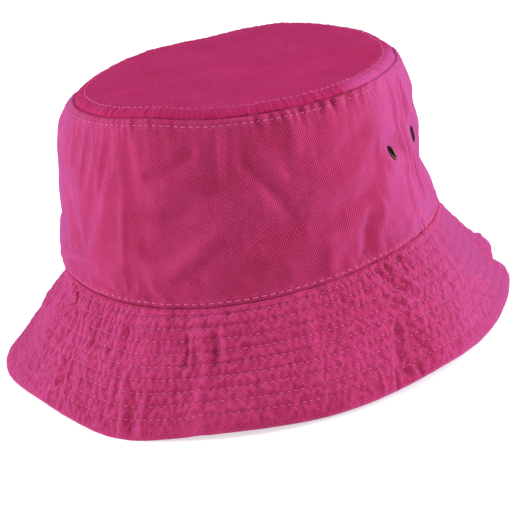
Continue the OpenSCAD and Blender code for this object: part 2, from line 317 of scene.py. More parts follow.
# height mm, width mm, points (degrees, mm down from the brim seam)
BRIM_FOLDS = [
    (-1.5, 1.05, [(230, 1), (232.6, 3), (234.3, 6.5), (233.5, 10), (230, 13.5)]),
    (1.1, 1.5, [(228.3, 3), (230.6, 5.5), (231.2, 9)]),
    (0.6, 1.6, [(236.8, 3), (237, 9.5)]),
    (1.0, 3.0, [(226.5, 9), (226, 20), (224.5, 38)]),
    (-1.0, 2.0, [(230.2, 12), (229.8, 20), (229, 31), (226.5, 40)]),
    (1.0, 1.9, [(231.5, 14), (232.8, 22), (232, 34)]),
    (-0.9, 1.8, [(235.5, 9), (237.4, 16), (236.5, 24), (237, 36)]),
    (0.8, 1.9, [(238.8, 13), (239.3, 28), (239, 44), (238.3, 60)]),
    (-0.7, 1.6, [(241.3, 20), (241.8, 40), (241.5, 60)]),
    (0.7, 1.5, [(243.4, 24), (243.8, 60)]),
    (0.6, 1.4, [(247.3, 8), (247.5, 30)]),
    (-0.6, 1.2, [(249, 8), (249, 28)]),
    (1.0, 1.8, [(257.2, 7), (258, 20), (257, 34)]),
    (-0.7, 1.5, [(259.6, 9), (260.2, 24)]),
    (1.0, 1.9, [(262.5, 33), (263.8, 46), (264.6, 61)]),
    (-0.8, 1.4, [(265.3, 38), (266.4, 50), (266.8, 61)]),
    (0.8, 1.4, [(268.6, 40), (269, 61)]),
    (1.5, 2.5, [(279.3, 7), (281.6, 16), (282.6, 28), (281.6, 42), (279.5, 54)]),
    (-0.9, 1.7, [(284.2, 9), (285.2, 18), (285.3, 28)]),
    (1.0, 1.5, [(286.6, 10), (287.4, 20), (287.4, 28)]),
    (-0.9, 1.4, [(277.0, 10), (278, 22), (276.6, 34)]),
    (-1.2, 2.0, [(332.4, 0), (334.2, 7), (336.2, 15), (338.6, 22)]),
    (1.2, 2.2, [(337.4, 0), (338.4, 8), (340.5, 16), (343, 25)]),
    (1.0, 1.8, [(329.5, 3), (331.5, 12), (334.5, 20), (339, 27)]),
    (0.9, 1.8, [(345, 0), (345.6, 11)]),
    (-0.7, 1.6, [(342, 0), (342.6, 9)]),
    (-1.5, 3.0, [(331, 28), (328.8, 42), (328, 61)]),
    (1.5, 6.0, [(336.5, 26), (338, 44), (340, 61)]),
    (-0.9, 1.1, [(326.6, 50), (325, 61)]),
    (-0.9, 1.1, [(331.2, 51), (332, 61)]),
    (0.6, 1.2, [(322.8, 48), (322, 61)]),
    (-1.0, 1.8, [(352.6, 14), (353.6, 24), (355, 36)]),
    (0.6, 2.0, [(350.4, 16), (351.3, 34)]),
    (-0.5, 2.2, [(305, 8), (304.5, 40)]),
    (0.6, 2.4, [(309, 10), (308.5, 52)]),
    (-0.6, 1.6, [(294.6, 36), (294.8, 61)]),
    (-1.1, 1.7, [(359, 37), (364, 42), (367, 48), (370, 54)]),
    (0.9, 2.6, [(363, 32), (369, 39), (373, 47), (376, 54)]),
    (1.4, 4.1, [(25.9, 35), (26.4, 47), (26.9, 62)]),
    (-1.5, 6.2, [(32.6, 17), (34.2, 34), (35.3, 53)]),
    (-3.9, 4.6, [(33.8, 34), (34.7, 44), (35.3, 53)]),
    (-1.6, 5.4, [(37.6, 20), (39.2, 40), (40.1, 64.7)]),
    (-4.0, 4.3, [(39.2, 41), (39.8, 50), (40.1, 64.7)]),
    (2.9, 3.2, [(47.0, 46), (47.6, 56), (47.8, 68)]),
    (1.2, 3.2, [(282, 50), (281.5, 63)]),
]


def random_crown_folds(rng):
    """Leaning, slightly bent folds over the back."""
    items = []
    for _ in range(26):
        degrees = rng.uniform(46, 196)
        height = rng.uniform(.15, .85) * FOLD_SPAN
        lean = rng.uniform(-1.2, 1.2)
        length = rng.uniform(12, 34)
        bend = rng.uniform(-.5, .5)
        points = []
        for k in (-1, -.35, .35, 1):
            turn = lean + bend * k
            y = height + k * length * math.cos(turn) * .8
            points.append((degrees + k * length * math.sin(turn) / 1.63,
                           min(.97 * FOLD_SPAN, max(.02 * FOLD_SPAN, y))))
        items.append((rng.choice([-1, 1]) * rng.uniform(.6, 1.2), rng.uniform(2.2, 4.6), points))
    return items


def random_brim_folds(rng):
    """Folds running down the brim at the back."""
    items = []
    for _ in range(44):
        degrees = rng.uniform(52, 188)
        top = rng.uniform(2, 34)
        bottom = min(61, top + rng.uniform(10, 30))
        drift = rng.uniform(-2.4, 2.4)
        items.append((rng.choice([-1, 1]) * rng.uniform(.6, 1.5), rng.uniform(1.3, 2.6),
                      [(degrees, top),
                       (degrees + .5 * drift + rng.uniform(-1, 1), (top + bottom) / 2),
                       (degrees + drift, bottom)]))
    return items


fold_rng = np.random.RandomState(77)
CROWN_FOLDS = [(CROWN_FOLD_GAIN * height, width, [(a, y * FOLD_SPAN) for a, y in points])
               for height, width, points in CROWN_FRONT_FOLDS]
CROWN_FOLDS += random_crown_folds(fold_rng)
CROWN_FOLDS += [(0.7, 1.6, [(a, .98 * FOLD_SPAN), (a + .8, .7 * FOLD_SPAN),
                            (a - .6, .4 * FOLD_SPAN), (a + .4, .08 * FOLD_SPAN)])
                for a in (178.2, 181.6, 184.5, 172.5)]      # beside the right seam
BRIM_FOLDS += random_brim_folds(fold_rng)


# ------------------------------------------------------------ surfaces
DRAPED = {}        # displacements from the cloth simulation, for "crown" and "brim"


def base_normal(surface, th, v, dv):
    """Normal of a base surface, by small steps."""
    a = surface(th + 1e-3, v) - surface(th - 1e-3, v)
    b = surface(th, v + dv) - surface(th, v - dv)
    n = np.cross(a, b)
    return n / np.maximum(np.linalg.norm(n, axis=-1, keepdims=True), 1e-12)


def up_normal(surface, th, v, dv):
    n = base_normal(surface, th, v, dv)
    return n * np.sign(n[..., 2:3])


# Crown side band: t is 0 at the brim seam, 1 at the tip seam.
# How its wall bulges: t, share of the full bulge
BULGE = np.array([(0, 0), (0.04, 0.15), (0.136, 0.39), (0.243, 0.64), (0.42, 0.79), (0.6, 0.93),
                  (0.716, 1.0), (0.86, 0.84), (0.95, 0.48), (1, 0)]).T
BULGE_LUMPS = [(5.8, 203, 38), (1.6, 130, 40), (0.7, 255, 25)]
TOP_PUCKER_LUMPS = [(1.35, 322, 24), (0.3, 262, 12), (0.4, 100, 50)]


def crown_base(th, t):
    rb, zb = base_ring(th)
    rt, zt = tip_ring(th)
    calm = 1 - 0.85 * np.maximum(lump(th, 0, 16), lump(th, 180, 14))
    r = rb + (rt - rb) * t + lumps(1.2, th, BULGE_LUMPS) * calm * np.interp(t, *BULGE)
    # dent and bumps past the right seam
    r = r - 1.6 * lump(th, 213, 22) * smooth(t, 0.05, 0.3) * (1 - smooth(t, 0.55, 0.85))
    # dent and bumps behind the left seam
    left = lump(th, 26, 20)
    r = r + left * (1.9 * bell(t - 0.84, 0.13) - 2.4 * bell(t - 0.33, 0.12))
    r = (r + 1.2 * lump(th, 206, 20) * bell(t - 0.92, 0.07)
         + 1.0 * lump(th, 198, 26) * smooth(t, 0.25, 0.5) * (1 - smooth(t, 0.86, 0.99)))
    r = r + 1.1 * lump(th, 20, 18) * bell(t - 0.90, 0.09) + 1.3 * left * bell(t - 0.58, 0.11)
    return oval(r, th, zb + (zt - zb) * t)


def eyelet_distance(th, t, eyelet, radius):
    return np.hypot(wrap(th - eyelet[0]) * radius, (t - eyelet[1]) * CROWN_L)


def eyelet_calm(th, t):
    """0 at an eyelet, 1 away from it."""
    calm = np.ones_like(th)
    for eyelet in EYELETS:
        calm = calm * smooth(eyelet_distance(th, t, eyelet, 92), 4.2, 11)
    return calm


def crown_relief(th, t):
    s = t * CROWN_L
    below_tip = (1 - t) * CROWN_L
    # long soft folds that lean, single folds, and finer drag lines
    mid = np.sin(math.pi * np.clip(t, 0, 1)) ** 0.7
    d = 0.55 * mid * cloth_noise(th, s, 34, 90, 11, shear=0.35)
    d += 0.35 * mid * cloth_noise(th, s, 17, 52, 12, shear=-0.45)
    d += folds(th, s, CROWN_FOLDS, 86.0)
    d += 0.14 * cloth_noise(th, s, 7, 12, 15)
    # puckers under the tip seam
    top = bell(below_tip, 6.0) * (lumps(0.34, th, TOP_PUCKER_LUMPS)
                                  + 0.35 * ring_noise(th, 40, 17))
    tuck = cloth_noise(th, s, 3.9, 14, 16, shear=0.12)
    d += 1.05 * top * smooth(below_tip, 0.0, 1.3) * np.sign(tuck) * np.abs(tuck) ** 0.8
    # puckers over the brim seam
    d += (0.75 * np.exp(-s / 9.0) * cloth_noise(th, s, 8.5, 26, 18, shear=0.25)
          * (0.7 + 0.8 * lump(th, 358, 30) + 0.4 * ring_noise(th, 60, 19)))
    d += 0.35 * bell(s - 3.4, 1.5) * cloth_noise(th, s, 3.9, 9, 21)
    # drag wrinkles near the side seams
    d += (0.5 * (lump(th, 352, 20) + lump(th, 172, 18)) * smooth(t, 0.02, 0.18)
          * (1 - smooth(t, 0.25, 0.75)) * cloth_noise(th, s, 8, 30, 20, shear=0.5))
    d += (0.34 * (lump(th, 6, 15) + lump(th, 186, 12)) * smooth(t, 0.10, 0.30)
          * (1 - smooth(t, 0.90, 1.0)) * cloth_noise(th, s, 4.4, 46, 22, shear=0.06))
    # the cloth is smooth at the eyelets, and leans with them
    d = d * eyelet_calm(th, t) * (1 - 0.5 * lump(th, 221, 20))
    for eyelet_th, eyelet_t, lean_round, lean_up, _ in EYELETS:
        x = wrap(th - eyelet_th) * EYELET_R * 1.1
        y = (t - eyelet_t) * CROWN_L
        d -= (lean_round * x + lean_up * y) * bell(x ** 2 + y ** 2, 56.0, 1.5)
    # side seam ridge with its groove
    x = seam_angle(th) * SEAM_R
    d += 0.35 * bell(x, 3.2, 4) - 0.45 * bell(x, 0.7)
    # seam allowances, and the grooves of their stitch rows
    d += 0.45 * (1 - smooth(s, 2.6, 4.4))
    d -= 0.30 * bell(s - 2.0, 0.7)
    d += 0.35 * (1 - smooth(below_tip, 3.6, 5.4)) - 0.34 * bell(below_tip - TOP_ROW, 0.8)
    # the edges tuck into their seams
    d -= 0.9 * bell(below_tip, 0.55, 1.5)
    d -= 0.55 * bell(s, 0.45, 1.5)
    return d


def crown_point(th, t, offset=0.0):
    n = base_normal(crown_base, th, t, 0.004)
    p = crown_base(th, t) + n * (crown_relief(th, t) + offset)[..., None]
    if "crown" in DRAPED:
        p = p + DRAPED["crown"](th, t)
    return p


# Tip: q is 0 at its middle, 1 at its seam.
def tip_base(th, q):
    """Nearly flat, its last millimetres rolling down to the seam, more so at the front."""
    rt, zt = tip_ring(th)
    roll = 2.5 + 1.1 * lump(th, 285, 65)
    w = q ** 2.2
    drop = np.maximum(0.0, 1 - (1 - q) * TIP_R / 7.5) ** 1.8
    z = (TIP_Z + DOME - 0.4) * (1 - w) + (zt + 0.1 + roll) * w - roll * drop
    return oval(rt * q, th, z)


def tip_relief(th, q):
    s = (1 - q) * TIP_R
    girth = TAU * 80
    # slow waves over the flat
    x, y = q * TIP_R * np.cos(th), q * TIP_R * OVAL * np.sin(th)
    waves = (gradient_noise(x / 42 + 50, y / 55 + 50, 31, 1024) * 0.9
             + gradient_noise(x / 20 + 50, y / 26 + 50, 32, 1024) * 0.3)
    d = waves * smooth(s, 3, 22)
    # puckers along the seam, strongest at the front
    strip = bell(s - 2.6, 3.6)
    front = 0.35 + 0.65 * lump(th, 290, 75)
    ring = cloth_noise(th, 0.0, 30, 50, 35)
    d += (0.42 * front * strip * cloth_noise(th, s, 3.4, 16, 33, girth=girth)
          * (0.9 + 0.5 * ring))
    d += (0.46 * (0.3 + front) * strip
          * cloth_noise(th, s, 2.1, 14, 37, shear=0.08, girth=girth))
    d += 0.40 * front * np.exp(-s / 9.0) * cloth_noise(th, s, 7.5, 20, 36, girth=girth)
    d += 0.35 * np.exp(-s / 16.0) * cloth_noise(th, s, 13, 30, 34, girth=girth)
    # groove of the stitch row, the seam allowance, the edge going into the seam
    d -= 0.40 * bell(s - TIP_ROW, 0.8)
    d += 0.42 * (1 - smooth(s, TIP_ROW + 0.2, TIP_ROW + 2.4))
    d -= 0.8 * bell(s, 0.9, 1.6)
    return d


def tip_point(th, q, offset=0.0):
    n = up_normal(tip_base, th, np.maximum(q, 0.02), 0.004)
    return tip_base(th, q) + n * (tip_relief(th, q) + offset)[..., None]


# Brim: s is mm down its slope, 0 at the seam, BRIM_L at the edge.
SAG_LUMPS = [(8.2, 200, 25), (3.0, 33, 24), (1.2, 120, 30)]
PUCKER_LUMPS = [(-0.22, 305, 26), (0.45, 228, 28), (0.55, 344, 16), (0.45, 110, 45)]
SEAM_TUCK_LUMPS = [(0.8, 262, 34), (0.3, 120, 50)]


def brim_base(th, s):
    rb, zb = base_ring(th)
    re, ze = edge_ring(th)
    f = np.clip(s / BRIM_L, 0, 1.2)
    r = rb + 0.35 + (re - rb - 0.35) * f
    z = zb - 0.3 + (ze - zb + 0.3) * f
    inside = np.minimum(s, 0.0)      # the seam allowance goes in under the crown's edge
    r = np.where(s < 0, rb + 0.35 + 0.95 * inside, r)
    z = np.where(s < 0, zb - 0.3 + 0.05 * inside, z)
    return oval(r, th, z)


def brim_belly(th, s):
    """Slow curve of the brim across its slope: out in most places, sagging beside the seams."""
    f = np.clip(s / BRIM_L, 0, 1)
    belly = (1.5 * np.sin(math.pi * f) * (1 - lump(th, 205, 32))
             * (1 - 0.7 * lump(th, 32, 26)))
    sag = lumps(0.0, th, SAG_LUMPS)
    belly = belly - 2.9 * lump(th, 200, 24) * bell(f - 0.74, 0.17)
    belly = (belly - 2.4 * lump(th, 193, 9) * smooth(f, 0.60, 0.90)
             + 2.8 * lump(th, 203, 18) * bell(f - 0.46, 0.17))
    return belly - sag * np.minimum(1, f / 0.16) ** 0.6 * (1 - smooth(f, 0.35, 1.04))


def strength(th):
    """How much the quilting puckers the cloth, round the brim."""
    return lumps(0.50, th, PUCKER_LUMPS) + 0.25 * ring_noise(th, 60, 40)


def taut(th):
    """The brim lies smoother just behind the left seam."""
    angle = wrap(th)
    return (1 - 0.50 * smooth(angle, math.radians(-3), math.radians(9))
            * (1 - smooth(angle, math.radians(62), math.radians(84))))


def brim_pucker(th, s):
    """The folds that go through all the brim's layers."""
    much = strength(th)
    f = s / BRIM_L
    # slow waves
    d = 0.75 * smooth(f, 0.02, 0.5) * cloth_noise(th, s, 40, 140, 41, shear=0.05)
    d += (0.55 * smooth(f, 0.0, 0.3) * cloth_noise(th, s, 16, 70, 42, shear=0.12)
          * (0.5 + 0.5 * much))
    # three sizes of pucker, calmer towards the edge
    calm = (1 - 0.72 * smooth(s, BRIM_L - 7, BRIM_L - 0.5)) * taut(th)
    d += 0.58 * much * cloth_noise(th, s, 7.4, 24, 43, shear=-0.15) * calm
    d += (0.44 * (0.45 + 0.55 * much) * cloth_noise(th, s, 4.0, 9, 44, shear=0.1)
          * smooth(f, -0.1, 0.15) * calm)
    d += 0.50 * (0.5 + 0.5 * much) * cloth_noise(th, s, 2.5, 4.8, 47) * calm
    # tucks below the crown seam
    tuck = cloth_noise(th, s, 5.4, 26, 45)
    d += (0.85 * np.exp(-s / 15.0) * np.sign(tuck) * np.abs(tuck) ** 0.85
          * lumps(0.55, th, SEAM_TUCK_LUMPS))
    d += folds(th, s, BRIM_FOLDS, 106.0)
    d *= smooth(s, -0.5, 2.6) * 0.9 + 0.1
    # side seam ridge with its groove
    x = seam_angle(th) * (SEAM_R + 0.5 * s)
    d += 0.30 * bell(x, 3.0, 4) - 0.45 * bell(x, 0.8)
    return d


def brim_puff(th, s):
    """The swell of the cloth between two quilting rows."""
    puff = np.zeros_like(s)
    edges = [-1.0] + ROW_S
    for a, b in zip(edges[:-1], edges[1:]):
        x = np.clip((s - a) / (b - a), 0, 1)
        puff = np.where((s >= a) & (s < b), np.sin(math.pi * x) ** 0.75, puff)
    x = np.clip((s - ROW_S[-1]) / ROW_LAST, 0, 1)
    puff = np.where(s >= ROW_S[-1], 0.8 * np.sin(math.pi * x) ** 0.6, puff)
    amount = 0.80 + 0.35 * cloth_noise(th, s, 9, 6, 46)
    # the first channel below the seam is the fullest
    amount = amount + 0.75 * bell(s - 6.4, 3.4) * (lump(th, 272, 16) + 0.5 * lump(th, 100, 60))
    amount = (amount * (1 - 0.62 * lump(th, 228, 34))
              * (1 + 0.25 * lump(th, 18, 26) + 0.3 * lump(th, 298, 40)))
    return puff * amount


def brim_point(th, s, offset=0.0, puff=1.0):
    n = up_normal(brim_base, th, s, 0.1)
    soft = 0.85 if "brim" in DRAPED else 1.0
    d = brim_belly(th, s) + brim_pucker(th, s) + puff * soft * brim_puff(th, s)
    p = brim_base(th, s) + n * (d + offset)[..., None]
    if "brim" in DRAPED:
        p = p + (puff * taut(th))[..., None] * DRAPED["brim"](th, s)
    return p


# Pieces inside the crown: v is 0..1 over each one's height.
def calm_wall(th, t, offset):
    """The crown's wall without its folds, for what hangs inside it."""
    rb, zb = base_ring(th)
    rt, zt = tip_ring(th)
    return oval(rb + (rt - rb) * t + offset, th, zb + (zt - zb) * t)


def tip_binding_point(th, v, offset):
    """A tape standing down from the tip seam."""
    rt, zt = tip_ring(th)
    wobble = 0.25 * cloth_noise(th, v * 8, 7, 9, 61)
    return oval(rt - 2.0 + offset + wobble, th, zt - 1.1 - v * 7.2)


def seam_binding_point(th, v, offset):
    """A tape 10 mm high over the brim seam, from 3 mm below it."""
    t = (v * 10.0 - 3.0) / CROWN_H
    return calm_wall(th, t, offset + 0.12 * cloth_noise(th, v * 10, 6, 8, 62))


def sweatband_point(th, v, offset):
    s = v * SWEATBAND_H - SWEATBAND_BELOW
    d = (0.35 * cloth_noise(th, s, 30, 40, 63)
         + 0.12 * cloth_noise(th, s, 6, 14, 64) * (0.4 + 0.6 * np.exp(-(s + 3) / 5)))
    # groove of the stitch row
    d = d - 0.35 - 0.22 * (1 - smooth(np.abs(v * SWEATBAND_H - SWEATBAND_ROW), 0.3, 1.4))
    d = d - 1.9 * lump(th, 25, 26) * smooth(s, 3, 15)      # pushed in with the wall's dent
    return calm_wall(th, s / CROWN_H, offset + d)


def label_point(th, v, offset):
    """16 mm high, from 5 mm above the sweatband's lower edge."""
    return sweatband_point(th, (5 + v * 16.0) / SWEATBAND_H,
                           offset + 0.25 * np.sin(v * math.pi))


# ------------------------------------------------------------ mesh building
def cells(n, m, round_n=False, round_m=False):
    """The four corner indices of every cell in an n by m grid of points."""
    i, j = np.meshgrid(np.arange(n if round_n else n - 1), np.arange(m if round_m else m - 1),
                       indexing="ij")
    i2, j2 = (i + 1) % n, (j + 1) % m
    return i * m + j, i2 * m + j, i2 * m + j2, i * m + j2


def grid(start, end, count, values, closed=False):
    return np.meshgrid(np.linspace(start, end, count, endpoint=not closed), values,
                       indexing="ij")


def new_object(name, verts, faces, uvs, material):
    """A smooth object from vertices and texture coordinates in mm."""
    mesh = bpy.data.meshes.new(name)
    verts = np.array(verts, float)
    z = verts[:, 2]
    # cloth flattens where it rests on the floor
    verts[:, 2] = np.where(z < 0.3, 0.3 * np.exp((np.minimum(z, 0.3) - 0.3) / 0.3), z)
    mesh.from_pydata((verts * MM).tolist(), [], faces)
    layer = mesh.uv_layers.new(name="UVMap")
    loops = np.zeros(len(mesh.loops), int)
    mesh.loops.foreach_get("vertex_index", loops)
    layer.data.foreach_set("uv", (uvs[loops] * MM).ravel())
    mesh.materials.append(material)
    mesh.polygons.foreach_set("use_smooth", np.ones(len(mesh.polygons), bool))
    mesh.validate()
    mesh.update()
    ob = bpy.data.objects.new(name, mesh)
    scene.collection.objects.link(ob)
    return ob


def join_parts(name, parts, material):
    """One object from (vertices, faces, texture coordinates) parts."""
    faces, first = [], 0
    for verts, part_faces, _ in parts:
        faces += [[x + first for x in face] for face in part_faces]
        first += len(verts)
    return new_object(name, np.concatenate([p[0] for p in parts]), faces,
                      np.concatenate([p[2] for p in parts]), material)


def shell(name, outer, inner, uv, material, closed=False, hole=None, flip=False):
    """A closed sheet of cloth from two grids of points, n around by m across.
    hole marks cells to leave out, all clear of the sheet's borders."""
    n, m = outer.shape[:2]
    count = n * m
    a, b, c, d = cells(n, m, round_n=closed)
    keep = np.ones(a.shape, bool) if hole is None else ~hole
    walls = []

    def wall(p, q):
        walls.append(np.stack([q, p, p + count, q + count], -1))

    wall(a[:, 0], b[:, 0])
    wall(c[:, -1], d[:, -1])
    if not closed:
        wall(d[0], a[0])
        wall(b[-1], c[-1])
    if hole is not None:
        for shift, axis, p, q in ((1, 0, a, d), (-1, 0, c, b), (-1, 1, d, c), (1, 1, b, a)):
            rim = hole & np.roll(keep, shift, axis)
            wall(p[rim], q[rim])
    faces = np.concatenate([np.stack([a, b, c, d], -1)[keep],
                            np.stack([d, c, b, a], -1)[keep] + count] + walls)
    if flip:
        faces = faces[:, ::-1]
    verts = np.concatenate([outer.reshape(-1, 3), inner.reshape(-1, 3)])
    uvs = np.concatenate([uv.reshape(-1, 2)] * 2)
    used = np.unique(faces)
    remap = np.full(len(verts), -1)
    remap[used] = np.arange(len(used))
    ob = new_object(name, verts[used], remap[faces].tolist(), uvs[used], material)
    polygons = ob.data.polygons
    polygons.foreach_set("material_index", np.zeros(len(polygons), int))
    return ob


def strip(name, surface, offsets, span, around, heights, across, material, closed=False,
          uv=None):
    """A strip of cloth between two offsets from a surface."""
    th, v = grid(*span, around, np.linspace(*heights, across), closed=closed)
    coords = np.stack([th * SEAM_R, v * CROWN_L], -1) if uv is None else uv(th, v)
    outer, inner = (surface(th, v, offset) for offset in offsets)
    return shell(name, outer, inner, coords, material, closed)


def fan_uv(th, mid, seam_radius, r, spread):
    """Texture coordinates of a band laid flat as part of a ring."""
    phi = wrap(th - mid) * (SEAM_R / seam_radius) * spread
    return np.stack([r * np.sin(phi), -r * np.cos(phi)], -1)


def stitch_row(surface, start, end, place, offset, radius, step, pitch, length, diameter,
               lift, sink, seed, facing=1):
    """A row of thread stitches round a surface, at one place across it. Each is a soft
    capsule that dips into the cloth at both ends."""
    closed = end - start > TAU - 0.01
    th = np.linspace(start, end, int(abs(end - start) * radius / step), endpoint=not closed)
    at = np.full_like(th, place)
    path = surface(th, at, offset)
    normal = surface(th, at, offset + 1.0) - path
    normal = facing * normal / np.linalg.norm(normal, axis=-1, keepdims=True)
    if closed:
        path = np.concatenate([path, path[:1]])
        normal = np.concatenate([normal, normal[:1]])

    rng = np.random.RandomState(seed)
    run = np.concatenate([[0], np.cumsum(np.linalg.norm(np.diff(path, axis=0), axis=1))])
    count = int(run[-1] / pitch)
    rings, sides = 7, 6
    k = np.linspace(-1, 1, rings)
    middle = (np.arange(count) + 0.5) * (run[-1] / count) + rng.uniform(-1, 1, count) * 0.12
    s = middle[:, None] + k[None] * length / 2
    s = np.mod(s, run[-1]) if closed else np.clip(s, 0, run[-1])
    centre, out = (np.stack([np.interp(s, run, line[:, c]) for c in range(3)], -1)
                   for line in (path, normal))
    out /= np.linalg.norm(out, axis=-1, keepdims=True)
    tangent = np.gradient(centre, axis=1)
    tangent /= np.maximum(np.linalg.norm(tangent, axis=-1, keepdims=True), 1e-9)
    sideways = np.cross(tangent, out)
    height = lift - (lift + sink) * np.abs(k) ** 3
    sit = rng.uniform(-0.08, 0.07, count)
    centre = centre + out * (height[None, :, None] + sit[:, None, None])
    a = np.arange(sides) / sides * TAU
    r = diameter / 2 * (np.sqrt(np.maximum(0, 1 - np.abs(k) ** 5)) * 0.92 + 0.08)
    r = r[None, :, None, None]
    flat = 0.75                      # thickness over width
    verts = (centre[:, :, None]
             + sideways[:, :, None] * (np.cos(a)[None, None, :, None] * r)
             + out[:, :, None] * (np.sin(a)[None, None, :, None] * r * flat))
    p, q, u, v = cells(rings, sides, round_m=True)
    quads = np.stack([p, v, u, q], -1).reshape(-1, 4)
    size = rings * sides
    faces = ((np.arange(count) * size)[:, None, None] + quads[None]).reshape(-1, 4).tolist()
    for first in range(0, count * size, size):
        faces.append([first + x for x in reversed(range(sides))])
        faces.append([first + size - sides + x for x in range(sides)])
    uvs = np.zeros((count, rings, sides, 2))
    uvs[..., 0] = s[:, :, None]
    uvs[..., 1] = np.arange(sides)[None, None, :] * 0.3
    return verts.reshape(-1, 3), faces, uvs.reshape(-1, 2)


# ------------------------------------------------------------ materials
class Graph:
    """Short helpers for building a node tree. Colours are given as three numbers."""

    def __init__(self, tree):
        self.tree = tree

    def node(self, kind, **settings):
        node = self.tree.nodes.new(kind)
        for key, value in settings.items():
            setattr(node, key, value)
        return node

    def link(self, output, socket):
        self.tree.links.new(output, socket)

    def feed(self, socket, value):
        if hasattr(value, "links"):
            self.link(value, socket)
        else:
            socket.default_value = value

    def math(self, operation, *values):
        node = self.node("ShaderNodeMath", operation=operation)
        for socket, value in zip(node.inputs, values):
            self.feed(socket, value)
        return node.outputs[0]

    def vector(self, operation, *values):
        node = self.node("ShaderNodeVectorMath", operation=operation)
        for socket, value in zip(node.inputs, values):
            self.feed(socket, value)
        return node.outputs["Value" if operation in ("LENGTH", "DOT_PRODUCT") else "Vector"]

    def mix(self, factor, a, b):
        node = self.node("ShaderNodeMix", data_type="RGBA")
        for index, value in ((0, factor), (6, a), (7, b)):
            self.feed(node.inputs[index], (*value, 1) if isinstance(value, tuple) else value)
        return node.outputs[2]

    def noise(self, vector, scale, detail=2.0, roughness=0.5, output="Fac"):
        node = self.node("ShaderNodeTexNoise")
        self.link(vector, node.inputs["Vector"])
        node.inputs["Scale"].default_value = scale
        node.inputs["Detail"].default_value = detail
        node.inputs["Roughness"].default_value = roughness
        return node.outputs[output]

    def ramp(self, value, start, end, low=0.0, high=1.0):
        node = self.node("ShaderNodeMapRange", clamp=True)
        for socket, number in zip(node.inputs, (value, start, end, low, high)):
            self.feed(socket, number)
        return node.outputs[0]

    def wave(self, value, period):
        """A sine wave between 0 and 1."""
        return self.ramp(self.math("SINE", self.math("MULTIPLY", value, TAU / period)), -1, 1)

    def stretch(self, vector, scale):
        node = self.node("ShaderNodeMapping")
        self.link(vector, node.inputs[0])
        node.inputs["Scale"].default_value = scale
        return node.outputs[0]

    def split(self, vector):
        node = self.node("ShaderNodeSeparateXYZ")
        self.link(vector, node.inputs[0])
        return node.outputs[0], node.outputs[1]

    def uv(self):
        """The texture coordinates in metres, and in mm."""
        uv = self.node("ShaderNodeUVMap", uv_map="UVMap").outputs[0]
        scaled = self.node("ShaderNodeVectorMath", operation="SCALE")
        self.link(uv, scaled.inputs[0])
        scaled.inputs[3].default_value = 1000.0
        return uv, scaled.outputs[0]

    def principled(self, inputs):
        for key, value in inputs.items():
            self.feed(self.bsdf.inputs[key], value)

    def bump(self, height, strength, distance):
        node = self.node("ShaderNodeBump")
        node.inputs["Strength"].default_value = strength
        node.inputs["Distance"].default_value = distance
        self.link(height, node.inputs["Height"])
        self.link(node.outputs[0], self.bsdf.inputs["Normal"])
        self.link(self.bsdf.outputs[0], self.output.inputs[0])


def new_material(name):
    mat = bpy.data.materials.new(name)
    mat.use_nodes = True
    mat.node_tree.nodes.clear()
    g = Graph(mat.node_tree)
    g.output = g.node("ShaderNodeOutputMaterial")
    g.bsdf = g.node("ShaderNodeBsdfPrincipled")
    return mat, g


def shade(colour, factor):
    return tuple(c * factor for c in colour)


def twill_weave(g, mm, angle, pitch):
    """Diagonal wales, each broken into short floats offset from its neighbour's."""
    # a slow wander of up to 1.6 mm, so the lines aren't ruled
    wander = g.noise(mm, scale=0.09, detail=3.0, output="Color")
    u, v = g.split(g.vector("MULTIPLY_ADD", wander, (1.6, 1.6, 0), mm))
    ca, sa = math.cos(math.radians(angle)), math.sin(math.radians(angle))
    across = g.math("SUBTRACT", g.math("MULTIPLY", u, sa), g.math("MULTIPLY", v, ca))
    along = g.math("ADD", g.math("MULTIPLY", u, ca), g.math("MULTIPLY", v, sa))
    wale = g.wave(across, pitch)
    row = g.math("FLOOR", g.math("DIVIDE", across, pitch))
    shift = g.math("MULTIPLY", row, 0.37)
    floats = g.wave(g.math("ADD", g.math("DIVIDE", along, pitch * 1.25), shift), 1)
    floats = g.math("POWER", floats, 0.6)
    return g.math("MULTIPLY", wale, g.math("ADD", g.math("MULTIPLY", floats, 0.45), 0.55))


def paint_seam_shade(g, mm, colour, dark, sheen, direction, radius, fade, length=None):
    """Painted shade: darker near the brim seam, and near the tip seam at a length; the fuzz
    fades out there too.
    direction is -1 where the flat cloth's radius shrinks away from the brim seam."""
    far = g.math("MULTIPLY", g.math("SUBTRACT", g.vector("LENGTH", mm), radius), direction)
    # painted shade: darker over the last fade mm before the brim seam, and a thin dark line at
    # the tip seam
    colour = g.mix(g.ramp(far, 0.2, fade, low=0.26, high=0.0), colour, shade(dark, 0.55))
    if length:
        colour = g.mix(g.ramp(far, length - 0.75, length - 0.2, high=0.7), colour,
                       shade(dark, 0.5))
    fuzz = g.ramp(far, 0.3, fade + 0.6, high=sheen)
    if length:
        fuzz = g.math("MULTIPLY", fuzz,
                      g.ramp(far, length - 1.6, length - 0.6, low=1.0, high=0.05))
    g.principled({"Sheen Weight": fuzz})
    return colour


